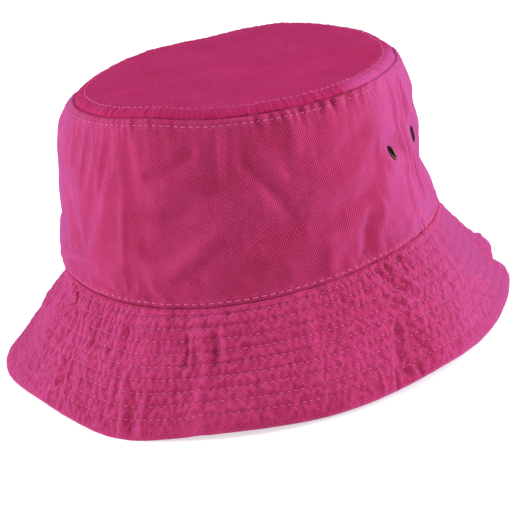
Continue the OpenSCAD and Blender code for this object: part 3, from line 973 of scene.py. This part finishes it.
def paint_rim_shade(g, uv, colour, dark, sheen, rim_sheen, patches):
    """The tip's rolled rim: fuzzier, with painted shade in patches and a painted dark line of
    shade at the seam itself.
    Gives the colour, and a mask of the rim."""
    share = g.vector("LENGTH", g.stretch(uv, (1 / (TIP_R * MM), 1 / (TIP_R * OVAL * MM), 1)))
    rim = g.ramp(share, 0.90, 0.97)
    # painted shade: random dark patches stand in for the shadows of the rim's puckers, and the
    # seam's edge is darkened
    painted_shade_patches = g.ramp(patches, 0.35, 0.65, low=0.30, high=0.0)
    colour = g.mix(g.math("MULTIPLY", rim, painted_shade_patches), colour, dark)
    colour = g.mix(g.ramp(share, 0.990, 0.996, high=0.7), colour, shade(dark, 0.5))
    fuzz = g.math("MULTIPLY_ADD", rim, rim_sheen, sheen)
    fuzz = g.math("MULTIPLY", fuzz, g.ramp(share, 0.982, 0.992, low=1.0, high=0.05))
    g.principled({"Sheen Weight": fuzz})
    return colour, rim


def paint_side_sheen(g, colour, patches, sides, rim):
    """Painted sheen: the colour goes paler and lilac round given angles of the hat, standing in
    for the side lights' sheen.
    """
    flat = g.vector("MULTIPLY", g.node("ShaderNodeTexCoord").outputs["Object"],
                    (1, 1 / OVAL, 0))
    unit = g.vector("NORMALIZE", flat)
    total = None
    for degrees, full, none, amount in sides:
        angle = math.radians(degrees)
        dot = g.vector("DOT_PRODUCT", unit, (math.cos(angle), math.sin(angle), 0))
        one = g.ramp(dot, math.cos(math.radians(none)), math.cos(math.radians(full)),
                     high=amount)
        total = one if total is None else g.math("ADD", total, one)
    if rim:
        total = g.math("MULTIPLY", total, rim)
    total = g.math("MULTIPLY", total, g.ramp(patches, 0.2, 0.6, low=0.7))
    # mix toward the painted sheen's pale lilac
    return g.mix(total, colour, (0.76, 0.155, 0.50))


def twill_material(name, base, dark, light, angle, pitch, depth=0.10, wear=0.35, sheen=0.78,
                   wale_mix=0.8, crepe=0.0, specular=0.18, seams=None, rim_sheen=None, sides=()):
    """Cotton twill: wales at an angle in degrees and a pitch in mm, slubs, faded patches and
    fuzz. depth is the relief in mm. seams holds paint_seam_shade's last arguments, for painted
    shade near the seams; rim_sheen adds fuzz and painted shade at the tip's rim. sides lists
    (degrees, half width of the full painted sheen, half width where it ends, amount) for a
    paler lilac painted sheen round given angles of the hat."""
    mat, g = new_material(name)
    uv, mm = g.uv()
    weave = twill_weave(g, mm, angle, pitch)
    fine = g.noise(mm, scale=1.9, roughness=0.6)
    # thicker yarns, long in one direction or the other
    slub = g.noise(g.stretch(mm, (0.9, 0.10, 1)), scale=1.0, roughness=0.6)
    cross_slub = g.noise(g.stretch(mm, (0.10, 0.9, 1)), scale=1.0, roughness=0.6)
    big = g.noise(mm, scale=0.035, detail=4.0, roughness=0.55)
    mid = g.noise(mm, scale=0.16, detail=3.0, roughness=0.6)

    # the weave's colours, then pale and dark patches and yarns
    colour = g.mix(g.ramp(weave, 0.05, 0.85), dark, base)
    colour = g.mix(g.math("MULTIPLY", g.ramp(weave, 0.55, 1.0), wale_mix), colour, light)
    for mask, start, end, amount, tint in ((big, 0.35, 0.7, 0.30, light),
                                           (mid, 0.45, 0.75, 0.22, dark),
                                           (slub, 0.58, 0.80, 0.35, light),
                                           (cross_slub, 0.60, 0.82, 0.30, dark)):
        colour = g.mix(g.ramp(mask, start, end, high=amount), colour, tint)

    # ridges are rubbed paler as wear; the hollows are darkened as painted shade
    ridge = g.node("ShaderNodeNewGeometry").outputs["Pointiness"]
    worn = g.math("MULTIPLY", g.ramp(ridge, 0.505, 0.56), wear)
    worn = g.math("MULTIPLY", worn, g.ramp(fine, 0.35, 0.7, low=0.4))
    colour = g.mix(worn, colour, tuple(min(1, c * 1.35 + 0.02) for c in light))
    colour = g.mix(g.ramp(ridge, 0.44, 0.497, low=0.42, high=0.0), colour, shade(dark, 0.72))

    rim = None
    if seams:
        colour = paint_seam_shade(g, mm, colour, dark, sheen, **seams)
    elif rim_sheen:
        colour, rim = paint_rim_shade(g, uv, colour, dark, sheen, rim_sheen, mid)
    else:
        g.principled({"Sheen Weight": sheen})
    if sides:
        colour = paint_side_sheen(g, colour, mid, sides, rim)
    g.principled({"Base Color": colour, "Roughness": 0.88, "Specular IOR Level": specular,
                  "Sheen Roughness": 0.38, "Sheen Tint": (0.93, 0.30, 1.0, 1)})

    # shares of the relief; crepe is the small puckers of washed cloth
    relief = g.math("MULTIPLY", weave, 0.75)
    layers = [(fine, 0.30), (slub, 0.25), (mid, 0.5)]
    if crepe:
        layers.append((g.noise(mm, scale=0.42, roughness=0.55), 3.2 * crepe))
    for layer, amount in layers:
        relief = g.math("ADD", relief, g.math("MULTIPLY", layer, amount))
    g.bump(relief, strength=0.85, distance=depth * MM * 2)
    return mat


def thread_material(name, base, light):
    """Twisted thread: pale diagonal bands every 0.45 mm."""
    mat, g = new_material(name)
    _, mm = g.uv()
    u, v = g.split(mm)
    twist = g.wave(g.math("ADD", u, g.math("MULTIPLY", v, 0.5)), 0.45)
    patches = g.noise(mm, scale=0.4)
    colour = g.mix(g.math("MULTIPLY", twist, 0.8), base, light)
    colour = g.mix(g.ramp(patches, 0.4, 0.7, high=0.4), colour, base)
    g.principled({"Base Color": colour, "Roughness": 0.6, "Sheen Weight": 0.25,
                  "Sheen Tint": (1, 0.6, 0.85, 1)})
    g.bump(twist, strength=0.6, distance=0.00008)
    return mat


def brass_material(name):
    """Darkened brass, paler on the lip, which the map's v finds by its height: partly rubbed
    wear, partly a painted highlight.
    """
    mat, g = new_material(name)
    _, v = g.split(g.node("ShaderNodeUVMap", uv_map="UVMap").outputs[0])
    height = g.math("MULTIPLY", v, 1000.0)
    place = g.node("ShaderNodeTexCoord").outputs["Object"]
    patches = g.noise(place, scale=900, detail=4.0, roughness=0.6)
    grain = g.noise(place, scale=4200, roughness=0.6)
    colour = g.mix(g.ramp(patches, 0.35, 0.65), (0.016, 0.006, 0.006), (0.050, 0.022, 0.020))
    # the pale lip: rubbed wear, and a painted highlight
    lip = g.math("MULTIPLY", g.ramp(height, 0.25, 0.55), g.ramp(patches, 0.30, 0.60, low=0.55))
    colour = g.mix(lip, colour, (0.36, 0.245, 0.185))
    g.principled({"Base Color": colour, "Metallic": 0.85,
                  "Specular Tint": (0.40, 0.28, 0.22, 1),
                  "Roughness": g.ramp(grain, 0.3, 0.7, low=0.34, high=0.55)})
    g.bump(grain, strength=0.25, distance=0.00005)
    return mat


BASE = (0.50, 0.023, 0.112)
DARK = (0.29, 0.009, 0.046)
LIGHT = (0.70, 0.068, 0.25)
# painted shade: the crown's colours are the cloth's BASE and LIGHT made 5% darker, for how it is
# lit
CROWN_TWILL = twill_material(
    "twill_crown", shade(BASE, 0.95), DARK, shade(LIGHT, 0.95), angle=60, pitch=1.0,
    depth=0.13, crepe=0.25, sheen=0.95,
    seams=dict(direction=-1, radius=FAN_CROWN, fade=1.1, length=CROWN_L),
    sides=[(13, 17, 31, 0.27), (192, 16, 38, 0.15)])
TIP_TWILL = twill_material(
    "twill_tip", (0.49, 0.0215, 0.117), (0.39, 0.013, 0.080), (0.64, 0.050, 0.215), angle=115,
    pitch=0.95, sheen=0.06, specular=0.06, wale_mix=0.36, rim_sheen=0.34,
    sides=[(2, 15, 28, 0.42)])
# painted light: the brim's colours are the cloth's made 5 to 13% lighter, for how it is lit
BRIM_TWILL = twill_material(
    "twill_brim", shade(BASE, 1.13), shade(DARK, 1.05), shade(LIGHT, 1.13), angle=72,
    pitch=0.95, wear=0.5, depth=0.18, crepe=1.1, sheen=0.9,
    seams=dict(direction=1, radius=FAN_BRIM, fade=1.6), sides=[(22, 26, 42, 0.15)])
UNDER_TWILL = twill_material("twill_under", BASE, DARK, LIGHT, angle=110, pitch=1.0, wear=0.3)
BAND_TWILL = twill_material("twill_sweatband", shade(BASE, 0.95), DARK, LIGHT, angle=45,
                            pitch=0.8, wear=0.25)
TAPE = twill_material("seam_tape", shade(BASE, 0.85), shade(DARK, 0.8), BASE, angle=90,
                      pitch=0.7, wear=0.2)
CANVAS = twill_material("interlining", (0.80, 0.76, 0.70), (0.62, 0.58, 0.52),
                        (0.88, 0.86, 0.82), angle=0, pitch=0.9, sheen=0.05)
LABEL = twill_material("label", (0.86, 0.84, 0.80), (0.74, 0.72, 0.68), (0.92, 0.91, 0.88),
                       angle=90, pitch=0.45, sheen=0.1, wear=0.1)
THREAD = thread_material("thread", (0.58, 0.05, 0.18), (0.76, 0.15, 0.34))
FINE_THREAD = thread_material("thread_brim", (0.60, 0.055, 0.20), (0.82, 0.18, 0.40))
BRASS = brass_material("antique_brass")


# ------------------------------------------------------------ cloth simulation
class Field:
    """A displacement known on a grid, looked up round the hat and across the cloth."""

    def __init__(self, delta, values):
        self.delta, self.values = delta, values

    def __call__(self, th, v):
        d, n = self.delta, self.delta.shape[0]
        x = np.mod(th, TAU) / TAU * n
        i = np.floor(x).astype(int)
        fx = (x - i)[..., None]
        i0, i1 = i % n, (i + 1) % n
        y = np.interp(v, self.values, np.arange(len(self.values)))
        j = np.minimum(np.floor(y).astype(int), len(self.values) - 2)
        fy = (y - j)[..., None]
        low = d[i0, j] * (1 - fx) + d[i1, j] * fx
        high = d[i0, j + 1] * (1 - fx) + d[i1, j + 1] * fx
        return low * (1 - fy) + high * fy


def drape(name, points, pin, growth, cap, frames, bend, pressure=0.0, gravity=0.0):
    """Relax a ring of cloth, held where pin says, with a little more cloth in it than its
    frame has room for. Gives each point's move in mm, at most cap."""
    n, m = points.shape[:2]
    size = 0.01                       # ten times life size, where the solver is steadier
    faces = np.stack(cells(n, m, round_n=True), -1).reshape(-1, 4)
    mesh = bpy.data.meshes.new(name)
    mesh.from_pydata((points.reshape(-1, 3) * size).tolist(), [], faces.tolist())
    ob = bpy.data.objects.new(name, mesh)
    scene.collection.objects.link(ob)
    group = ob.vertex_groups.new(name="pin")
    weights = pin.reshape(-1)
    for level in np.unique(np.round(weights, 2)):
        if level > 0:
            held = np.where(np.abs(weights - level) < 0.006)[0]
            group.add(held.tolist(), float(level), "REPLACE")
    mod = ob.modifiers.new("Cloth", "CLOTH")
    cloth = mod.settings
    cloth.quality = 4
    cloth.mass = 0.25
    cloth.tension_stiffness = cloth.compression_stiffness = 18
    cloth.shear_stiffness = 6
    cloth.bending_stiffness = bend
    cloth.tension_damping = cloth.compression_damping = 8
    cloth.air_damping = 2
    cloth.vertex_group_mass = "pin"
    cloth.pin_stiffness = 1.0
    cloth.shrink_min = -growth
    cloth.effector_weights.gravity = gravity
    if pressure:
        cloth.use_pressure = True
        cloth.uniform_pressure_force = pressure
    mod.collision_settings.use_collision = False
    mod.collision_settings.use_self_collision = False
    mod.point_cache.frame_start, mod.point_cache.frame_end = 1, frames
    for frame in range(1, frames + 1):
        scene.frame_set(frame)
    evaluated = ob.evaluated_get(bpy.context.evaluated_depsgraph_get())
    moved = np.empty(n * m * 3)
    evaluated.data.vertices.foreach_get("co", moved)
    delta = moved.reshape(n, m, 3) / size - points
    bpy.data.objects.remove(ob, do_unlink=True)
    bpy.data.meshes.remove(mesh)
    scene.frame_set(1)
    if not np.isfinite(delta).all():          # the solver blew up: leave the cloth as it was
        delta = np.zeros_like(points)
    length = np.linalg.norm(delta, axis=-1, keepdims=True)
    return delta * np.minimum(1, cap / np.maximum(length, 1e-9))


def drape_crown():
    """Held at both edges, round the eyelets and, less firmly, at the side seams."""
    count = 330
    values = np.concatenate([[0, 2.0], np.linspace(2.0, CROWN_L - TOP_ROW, 40)[1:],
                             [CROWN_L - 1.6, CROWN_L]]) / CROWN_L
    th, t = np.meshgrid(np.arange(count) / count * TAU, values, indexing="ij")
    pin = np.zeros(th.shape)
    pin[:, :2] = 1.0
    pin[:, -3:] = 1.0
    for eyelet in EYELETS:
        pin = np.maximum(pin, (eyelet_distance(th, t, eyelet, 92) < 7.5) * 1.0)
    pin = np.maximum(pin, (seam_angle(th) * SEAM_R < 1.2) * 0.6)
    DRAPED["crown"] = Field(drape("drape_crown", crown_point(th, t), pin, growth=0.003,
                                  cap=1.5, frames=14, gravity=0.12, bend=0.9), values)


def drape_brim():
    """Held at both edges, the quilting rows and the side seams."""
    count = 620
    values = [0.0, 1.2, 2.4]
    for a, b in zip(ROW_S[:-1], ROW_S[1:]):
        values += list(a + (b - a) * np.arange(5) / 5.0)
    last = ROW_S[-1]
    values = np.array(values + list(last + (BRIM_L - 0.4 - last) * np.linspace(0, 1, 7)))
    th, s = np.meshgrid(np.arange(count) / count * TAU, values, indexing="ij")
    pin = np.zeros(th.shape)
    pin[:, 0] = 1.0
    pin[:, -1] = 1.0
    for row in ROW_S:
        pin[:, np.argmin(np.abs(values - row))] = 1.0
    pin = np.maximum(pin, (seam_angle(th) * 105 < 1.0) * 1.0)
    DRAPED["brim"] = Field(drape("quilt_brim", brim_point(th, s, puff=0.85), pin,
                                 growth=0.026, cap=0.9, frames=12, pressure=0.5, bend=0.16),
                           values)


drape_crown()
drape_brim()


# ------------------------------------------------------------ crown
def register(ob, body, node, squash_at=None):
    """Hang an object on its body's empty and hide the frame's part it stands for. squash_at is
    the height a collapse would start from: the brim seam for the wall, the tip's own seam for
    the
    tip. Only whether it is given is used: then the object gets a mesh of its own."""
    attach(ob, body)
    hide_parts(node)
    if squash_at is not None:
        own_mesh(ob)


def build_crown_sides():
    # small steps beside both edges, wider ones between
    edge = np.arange(0, 6.5, 0.4)
    middle = np.linspace(6.5, CROWN_L - 6.5, int(CROWN_L - 2 * 6.5) + 1)
    s = np.unique(np.round(np.concatenate([edge, middle, CROWN_L - edge[::-1]]), 5))
    for node, start in (("crown_side_front", math.pi), ("crown_side_back", 0.0)):
        th, t = grid(start + SIDE_GAP, start + math.pi - SIDE_GAP, 460, s / CROWN_L)
        mid_th = (th[:-1, :-1] + th[1:, 1:]) / 2
        mid_t = (t[:-1, :-1] + t[1:, 1:]) / 2
        hole = np.zeros(mid_th.shape, bool)
        for eyelet in EYELETS:
            hole |= eyelet_distance(mid_th, mid_t, eyelet, EYELET_R * OVAL) < 2.9
        uv = fan_uv(th, start + 0.5 * math.pi, FAN_CROWN, FAN_CROWN - t * CROWN_L, 1.06)
        ob = shell(node + "_cloth", crown_point(th, t), crown_point(th, t, -CLOTH), uv,
                   CROWN_TWILL, hole=hole)
        register(ob, "base", node, SEAM_Z)


def close_middle(mesh):
    """Fill the tip's small middle hole on both faces."""
    bm = bmesh.new()
    bm.from_mesh(mesh)
    wall = [f for f in bm.faces
            if all(math.hypot(v.co.x, v.co.y) < 0.00105 for v in f.verts)]
    bmesh.ops.delete(bm, geom=wall, context="FACES_ONLY")
    bmesh.ops.holes_fill(bm, edges=[e for e in bm.edges if e.is_boundary], sides=0)
    layer = bm.loops.layers.uv.active
    for face in bm.faces:
        face.smooth = True
        if len(face.verts) > 4:
            for loop in face.loops:
                loop[layer].uv = (loop.vert.co.x, loop.vert.co.y)
    bmesh.ops.triangulate(bm, faces=[f for f in bm.faces if len(f.verts) > 4])
    bm.to_mesh(mesh)
    bm.free()


def build_tip():
    inward = np.concatenate([np.arange(0, 10, 0.45), np.linspace(10, TIP_R - 0.8, 62)])
    th, q = grid(0, TAU, 1440, (1 - inward / TIP_R)[::-1], closed=True)
    top = tip_point(th, q)
    ob = shell("crown_tip_cloth", top, tip_point(th, q, -CLOTH), top[..., :2], TIP_TWILL,
               closed=True)
    close_middle(ob.data)
    register(ob, "crown_top", "crown_top_panel", TIP_Z)


def build_linings():
    """Tapes, sweatband and label inside the crown."""
    ob = strip("crown_tip_binding", tip_binding_point, (0.0, -0.8), (0, TAU), 420, (0, 1), 9,
               TAPE, closed=True)
    register(ob, "crown_top", "crown_top_binding", TIP_Z)

    half = TAPE_HALF / (TIP_R * OVAL)
    for node, seam in (("side_seam_tape_left", 0.0), ("side_seam_tape_right", math.pi)):
        ob = strip(node + "_cloth", crown_point, (-1.0, -1.4), (seam - half, seam + half), 15,
                   (8.0 / CROWN_H, 0.985), 90, TAPE)
        register(ob, "base", node, SEAM_Z)

    ob = strip("crown_seam_binding_cloth", seam_binding_point, (-1.05, -1.8), (0, TAU), 460,
               (0, 1), 11, TAPE, closed=True)
    register(ob, "base", "crown_seam_binding")

    ob = strip("sweatband_cloth", sweatband_point, (-2.15, -3.0), (0, TAU), 560, (0, 1), 36,
               BAND_TWILL, closed=True)
    register(ob, "base", "sweatband", SEAM_Z)

    back, half = math.pi / 2, math.radians(8)
    ob = strip("care_label_cloth", label_point, (-3.35, -3.75), (back - half, back + half), 24,
               (0, 1), 18, LABEL,
               uv=lambda th, v: np.stack([(th - back) * SEAM_R * 0.99, v * 16.0], -1))
    register(ob, "base", "care_label", SEAM_Z)


def ring_stitches(name, node, surface, body="base", squash_at=SEAM_Z, thread=FINE_THREAD,
                  **row):
    """One row of stitches all round."""
    ob = join_parts(name, [stitch_row(surface, 0, TAU, step=0.5, **row)], thread)
    register(ob, body, node, squash_at)


def build_crown_stitches():
    ring_stitches("crown_base_stitches", "crown_base_topstitch", crown_point, thread=THREAD,
                  place=2.0 / CROWN_L, offset=0.12, radius=94, pitch=3.9, length=3.25,
                  diameter=0.72, lift=0.16, sink=0.42, seed=1)
    edge = dict(offset=0.10, pitch=3.4, length=2.7, diameter=0.52, lift=0.10, sink=0.38)
    ring_stitches("band_top_stitches", "band_top_topstitch", crown_point,
                  place=1 - TOP_ROW / CROWN_L, radius=84, seed=2, **edge)
    ring_stitches("tip_stitches", "tip_topstitch", tip_point, body="crown_top",
                  squash_at=TIP_Z, place=1 - TIP_ROW / TIP_R, radius=76, seed=3, **edge)
    ring_stitches("sweatband_stitches", "sweatband_edge_stitch", sweatband_point,
                  place=SWEATBAND_ROW / SWEATBAND_H, offset=-3.1, radius=86, pitch=3.2,
                  length=2.5, diameter=0.5, lift=0.12, sink=0.3, seed=4, facing=-1)


# ------------------------------------------------------------ eyelets
def arc(cx, cz, r, start, end, count):
    angles = np.radians(np.linspace(start, end, count))
    return [(cx + r * math.cos(a), cz + r * math.sin(a)) for a in angles]


# closed profiles: distance from the eyelet's axis, height above the cloth
FLANGE = ([(2.3, -1.9), (2.32, -0.9), (2.44, -0.2)]
          + arc(3.10, 0.02, 0.62, 180, 100, 8) + arc(3.1, 0.04, 0.60, 80, 0, 8)[:-1]
          + arc(3.55, 0.10, 0.2, 10, -90, 4)
          + [(3.3, 0.02), (2.85, 0.0), (2.8, -0.15), (2.8, -1.6), (3.0, -1.62), (3.3, -1.75)]
          + arc(3.2, -1.95, 0.2, 30, -90, 4) + [(2.8, -2.2), (2.5, -2.15), (2.35, -2.05)])
WASHER = [(2.92, -1.08), (3.4, -1.02), (4.0, -1.05), (4.2, -1.2), (4.2, -1.42), (4.0, -1.52),
          (3.4, -1.55), (2.92, -1.55)]


def revolve(profile, segments=56):
    a = np.arange(segments)[:, None] / segments * TAU
    r, z = np.array(profile, float).T[:, None]
    verts = np.stack([r * np.cos(a), r * np.sin(a), np.broadcast_to(z, (segments, z.size))], -1)
    faces = np.stack(cells(segments, z.size, round_n=True, round_m=True), -1)
    return verts.reshape(-1, 3), faces.reshape(-1, 4).tolist()


def build_eyelets():
    for name, node, profile in (("vent_eyelets_brass", "vent_eyelets", FLANGE),
                                ("eyelet_washers_brass", "eyelet_washers", WASHER)):
        verts, faces = revolve(profile)
        r = np.hypot(verts[:, 0], verts[:, 1])
        parts = []
        for th, t, lean_round, lean_up, rub_and_highlight in EYELETS:
            th_one, t_one = np.array([th]), np.array([t])
            centre = crown_point(th_one, t_one)[0]
            axis = base_normal(crown_base, th_one, t_one, 0.004)[0]
            axis = axis + np.array([-math.sin(th), math.cos(th), 0.0]) * lean_round
            axis = axis + np.array([0, 0, 1.0]) * lean_up
            axis = axis / np.linalg.norm(axis)
            turn = np.array(Vector(axis).to_track_quat("Z", "Y").to_matrix())
            # u is the distance from the axis; v the height, scaled by the lip's wear and painted
            # highlight, which is stronger on one side of each lip
            uv = np.stack([r, verts[:, 2] * rub_and_highlight * (0.64 - 0.36 * verts[:, 1] / r)], -1)
            parts.append((verts @ turn.T + centre, faces, uv))
        register(join_parts(name, parts, BRASS), "eyelets", node)


# ------------------------------------------------------------ brim
def brim_steps():
    """Distances down the brim, closer together beside the quilting rows."""
    values = [-1.5, -0.9, -0.4, 0.0]
    s = 0.0
    while s < BRIM_L - 0.5:
        s += 0.5 if min(abs(s - row) for row in ROW_S) < 1.2 else 0.8
        values.append(min(s, BRIM_L - 0.4))
    return np.unique(np.round(np.array(values), 4))


def brim_grid(start, count, values):
    return grid(start + BRIM_GAP, start + math.pi - BRIM_GAP, count, values)


def brim_uv(th, s, start):
    return fan_uv(th, start + 0.5 * math.pi, FAN_BRIM, FAN_BRIM + s, 1.07)


def unit(v):
    return v / np.linalg.norm(v, axis=-1, keepdims=True)


def brim_sheet(name, start):
    """Upper cloth, turned round the edge of the layers and back under them as a hem."""
    steps = brim_steps()
    last = steps[-1]
    th_all, s_all = brim_grid(start, 540, steps)
    th = th_all[:, 0]
    edge_s = np.full_like(th, last)
    edge_top = brim_point(th, edge_s)
    edge_low = brim_point(th, edge_s, -BRIM_THICK)
    normal = unit(edge_top - edge_low)
    back = unit(brim_point(th, np.full_like(th, last - 3.0)) - edge_top)
    middle = (edge_top + edge_low) / 2
    half = BRIM_THICK / 2
    hem = np.linspace(0.8, HEM, 5)
    sheets = []
    for depth in (0.0, CLOTH):
        rows = []
        r = half - depth
        for a in np.radians(np.linspace(70, -90, 9)):
            rows.append(middle + normal * (r * math.sin(a)) - back * (r * math.cos(a)))
        for b in hem:
            under = brim_point(th, np.full_like(th, last - b), -BRIM_THICK + depth, puff=-0.2)
            w = min(1.0, b / 2.4)
            rows.append(under * w + (middle - normal * r + back * b) * (1 - w))
        sheets.append(np.concatenate([brim_point(th_all, s_all, -depth),
                                      np.stack(rows, 1)], 1))
    turn = half * math.pi
    s_full = np.concatenate([steps, last + np.linspace(0.3, turn, 9), last + turn + hem])
    uv = brim_uv(*np.meshgrid(th, s_full, indexing="ij"), start)
    return shell(name, *sheets, uv, BRIM_TWILL, flip=True)


def brim_layer(name, start, top, bottom, end, material, count, step, low_puff=0.0):
    """A layer inside or under the brim, between two depths."""
    th, s = brim_grid(start, count, np.linspace(1.2, end, int(end / step)))
    return shell(name, brim_point(th, s, -top, puff=0.0),
                 brim_point(th, s, -bottom, puff=low_puff), brim_uv(th, s, start), material,
                 flip=True)


def register_brim(ob, side, node):
    """Bake the object's placement into its mesh, and hide the frame's part it stands for."""
    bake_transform(ob)
    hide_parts(node + side)


def brim_under_face(th, s, offset):
    return brim_point(th, s, offset, puff=-0.8)


def build_brim(side, start):
    register_brim(brim_sheet("brim_upper_%s_cloth" % side, start), side, "brim_upper_")
    ob = brim_layer("brim_interlining_%s_canvas" % side, start, top=1.0, bottom=1.6,
                    end=BRIM_L - 3.0, material=CANVAS, count=260, step=2.0)
    register_brim(ob, side, "brim_interlining_")
    ob = brim_layer("brim_under_%s_cloth" % side, start, top=1.9, bottom=BRIM_THICK,
                    end=BRIM_L - 0.4 - HEM, material=UNDER_TWILL, count=412, step=0.8,
                    low_puff=-0.8)
    register_brim(ob, side, "brim_under_")

    row = dict(start=start + SIDE_GAP * 3, end=start + math.pi - SIDE_GAP * 3, radius=112,
               step=0.6, pitch=3.3, length=2.6, diameter=0.46, lift=0.05)
    upper = [stitch_row(brim_point, place=s, offset=0.12, sink=0.34, seed=20 + i, **row)
             for i, s in enumerate(ROW_S)]
    # underneath, the rows stop short of the hem
    lower = [stitch_row(brim_under_face, place=s, offset=-2.64, sink=0.3, seed=40 + i,
                        facing=-1, **row)
             for i, s in enumerate(ROW_S) if s < BRIM_L - HEM - 2]
    ob = join_parts("brim_quilting_%s_stitches" % side, upper, FINE_THREAD)
    register_brim(ob, side, "brim_quilting_")
    ob = join_parts("brim_bobbin_%s_stitches" % side, lower, FINE_THREAD)
    register_brim(ob, side, "brim_bobbin_thread_")


build_crown_sides()
build_tip()
build_linings()
build_crown_stitches()
build_eyelets()
build_brim("front", math.pi)
build_brim("back", 0.0)


# ------------------------------------------------------------ floor, light, camera (metres)
def build_floor():
    """A white floor, clear when seen from below so that the underside shows."""
    mesh = bpy.data.meshes.new("floor")
    mesh.from_pydata([(-6, -6, 0), (6, -6, 0), (6, 6, 0), (-6, 6, 0)], [], [(0, 1, 2, 3)])
    floor = bpy.data.objects.new("floor", mesh)
    scene.collection.objects.link(floor)
    mat, g = new_material("floor_white")
    # it glows more to the camera than onto the hat
    camera_ray = g.node("ShaderNodeLightPath").outputs["Is Camera Ray"]
    g.principled({"Base Color": (0.86, 0.86, 0.86, 1), "Roughness": 0.9,
                  "Emission Color": (1, 1, 1, 1),
                  "Emission Strength": g.math("MULTIPLY_ADD", camera_ray, 0.44, 0.18)})
    mix = g.node("ShaderNodeMixShader")
    g.link(g.node("ShaderNodeNewGeometry").outputs["Backfacing"], mix.inputs[0])
    g.link(g.bsdf.outputs[0], mix.inputs[1])
    g.link(g.node("ShaderNodeBsdfTransparent").outputs[0], mix.inputs[2])
    g.link(mix.outputs[0], g.output.inputs[0])
    mesh.materials.append(mat)


def build_world():
    """White: strength 1 to the camera, 0.33 as light."""
    world = bpy.data.worlds.new("studio")
    scene.world = world
    world.use_nodes = True
    background = world.node_tree.nodes["Background"]
    background.inputs[0].default_value = (1.0, 1.0, 1.0, 1)
    g = Graph(world.node_tree)
    camera_ray = g.node("ShaderNodeLightPath").outputs["Is Camera Ray"]
    g.link(g.math("MULTIPLY_ADD", camera_ray, 0.67, 0.33), background.inputs[1])


AZIMUTH, ELEVATION, ROLL = (math.radians(a) for a in (24.99, 17.51, 6.89))
DISTANCE = 1.0707
LOOK = Vector((0, 0, 0.070))
# the camera's aim, right of and below LOOK in the picture, per unit of distance
AIM_RIGHT, AIM_DOWN = 0.006426463, 0.03247031
TO_CAMERA = Vector((math.sin(AZIMUTH) * math.cos(ELEVATION),
                    -math.cos(AZIMUTH) * math.cos(ELEVATION), math.sin(ELEVATION)))
RIGHT = Vector((math.cos(AZIMUTH), math.sin(AZIMUTH), 0))


def area_light(name, offset, size, power, color=(1, 1, 1)):
    """A rectangular light at an offset from LOOK, facing it."""
    light = bpy.data.lights.new(name, "AREA")
    light.shape = "RECTANGLE"
    light.size, light.size_y = size
    light.energy = power
    light.color = color
    ob = bpy.data.objects.new(name, light)
    ob.location = LOOK + offset
    ob.rotation_euler = (LOOK - ob.location).to_track_quat("-Z", "Y").to_euler()
    scene.collection.objects.link(ob)


def build_lights():
    """One above, and one at each side as the camera sees it."""
    area_light("key_top", Vector((0, 0, 1.3)) + TO_CAMERA * 0.25, size=(1.0, 1.0), power=2.6)
    area_light("side_left", RIGHT * -1.25 + TO_CAMERA * 0.15 + Vector((0, 0, 0.36)),
               size=(0.8, 1.1), power=17.5, color=(1.0, 0.93, 1.0))
    area_light("side_right", RIGHT * 1.15 + TO_CAMERA * 0.20 + Vector((0, 0, 0.42)),
               size=(0.8, 1.1), power=14.9, color=(1.0, 0.93, 1.0))


def build_camera():
    data = bpy.data.cameras.new("camera")
    camera = bpy.data.objects.new("camera", data)
    scene.collection.objects.link(camera)
    data.sensor_fit = "HORIZONTAL"
    data.sensor_width = 36.0
    data.lens = 151.8673
    data.clip_end = 50
    forward = -TO_CAMERA
    up = RIGHT.cross(forward)
    # the picture's own axes, turned by the roll
    picture_right = RIGHT * math.cos(ROLL) - up * math.sin(ROLL)
    picture_up = up * math.cos(ROLL) + RIGHT * math.sin(ROLL)
    aim = (forward + picture_right * AIM_RIGHT - picture_up * AIM_DOWN).normalized()
    camera_up = (picture_up - aim * picture_up.dot(aim)).normalized()
    axes = Matrix((aim.cross(camera_up), camera_up, -aim)).transposed()
    camera.matrix_world = axes.to_4x4()
    camera.location = LOOK + TO_CAMERA * DISTANCE
    scene.camera = camera


build_floor()
build_world()
build_lights()
build_camera()
scene.view_settings.view_transform = "Standard"
scene.view_settings.look = "None"
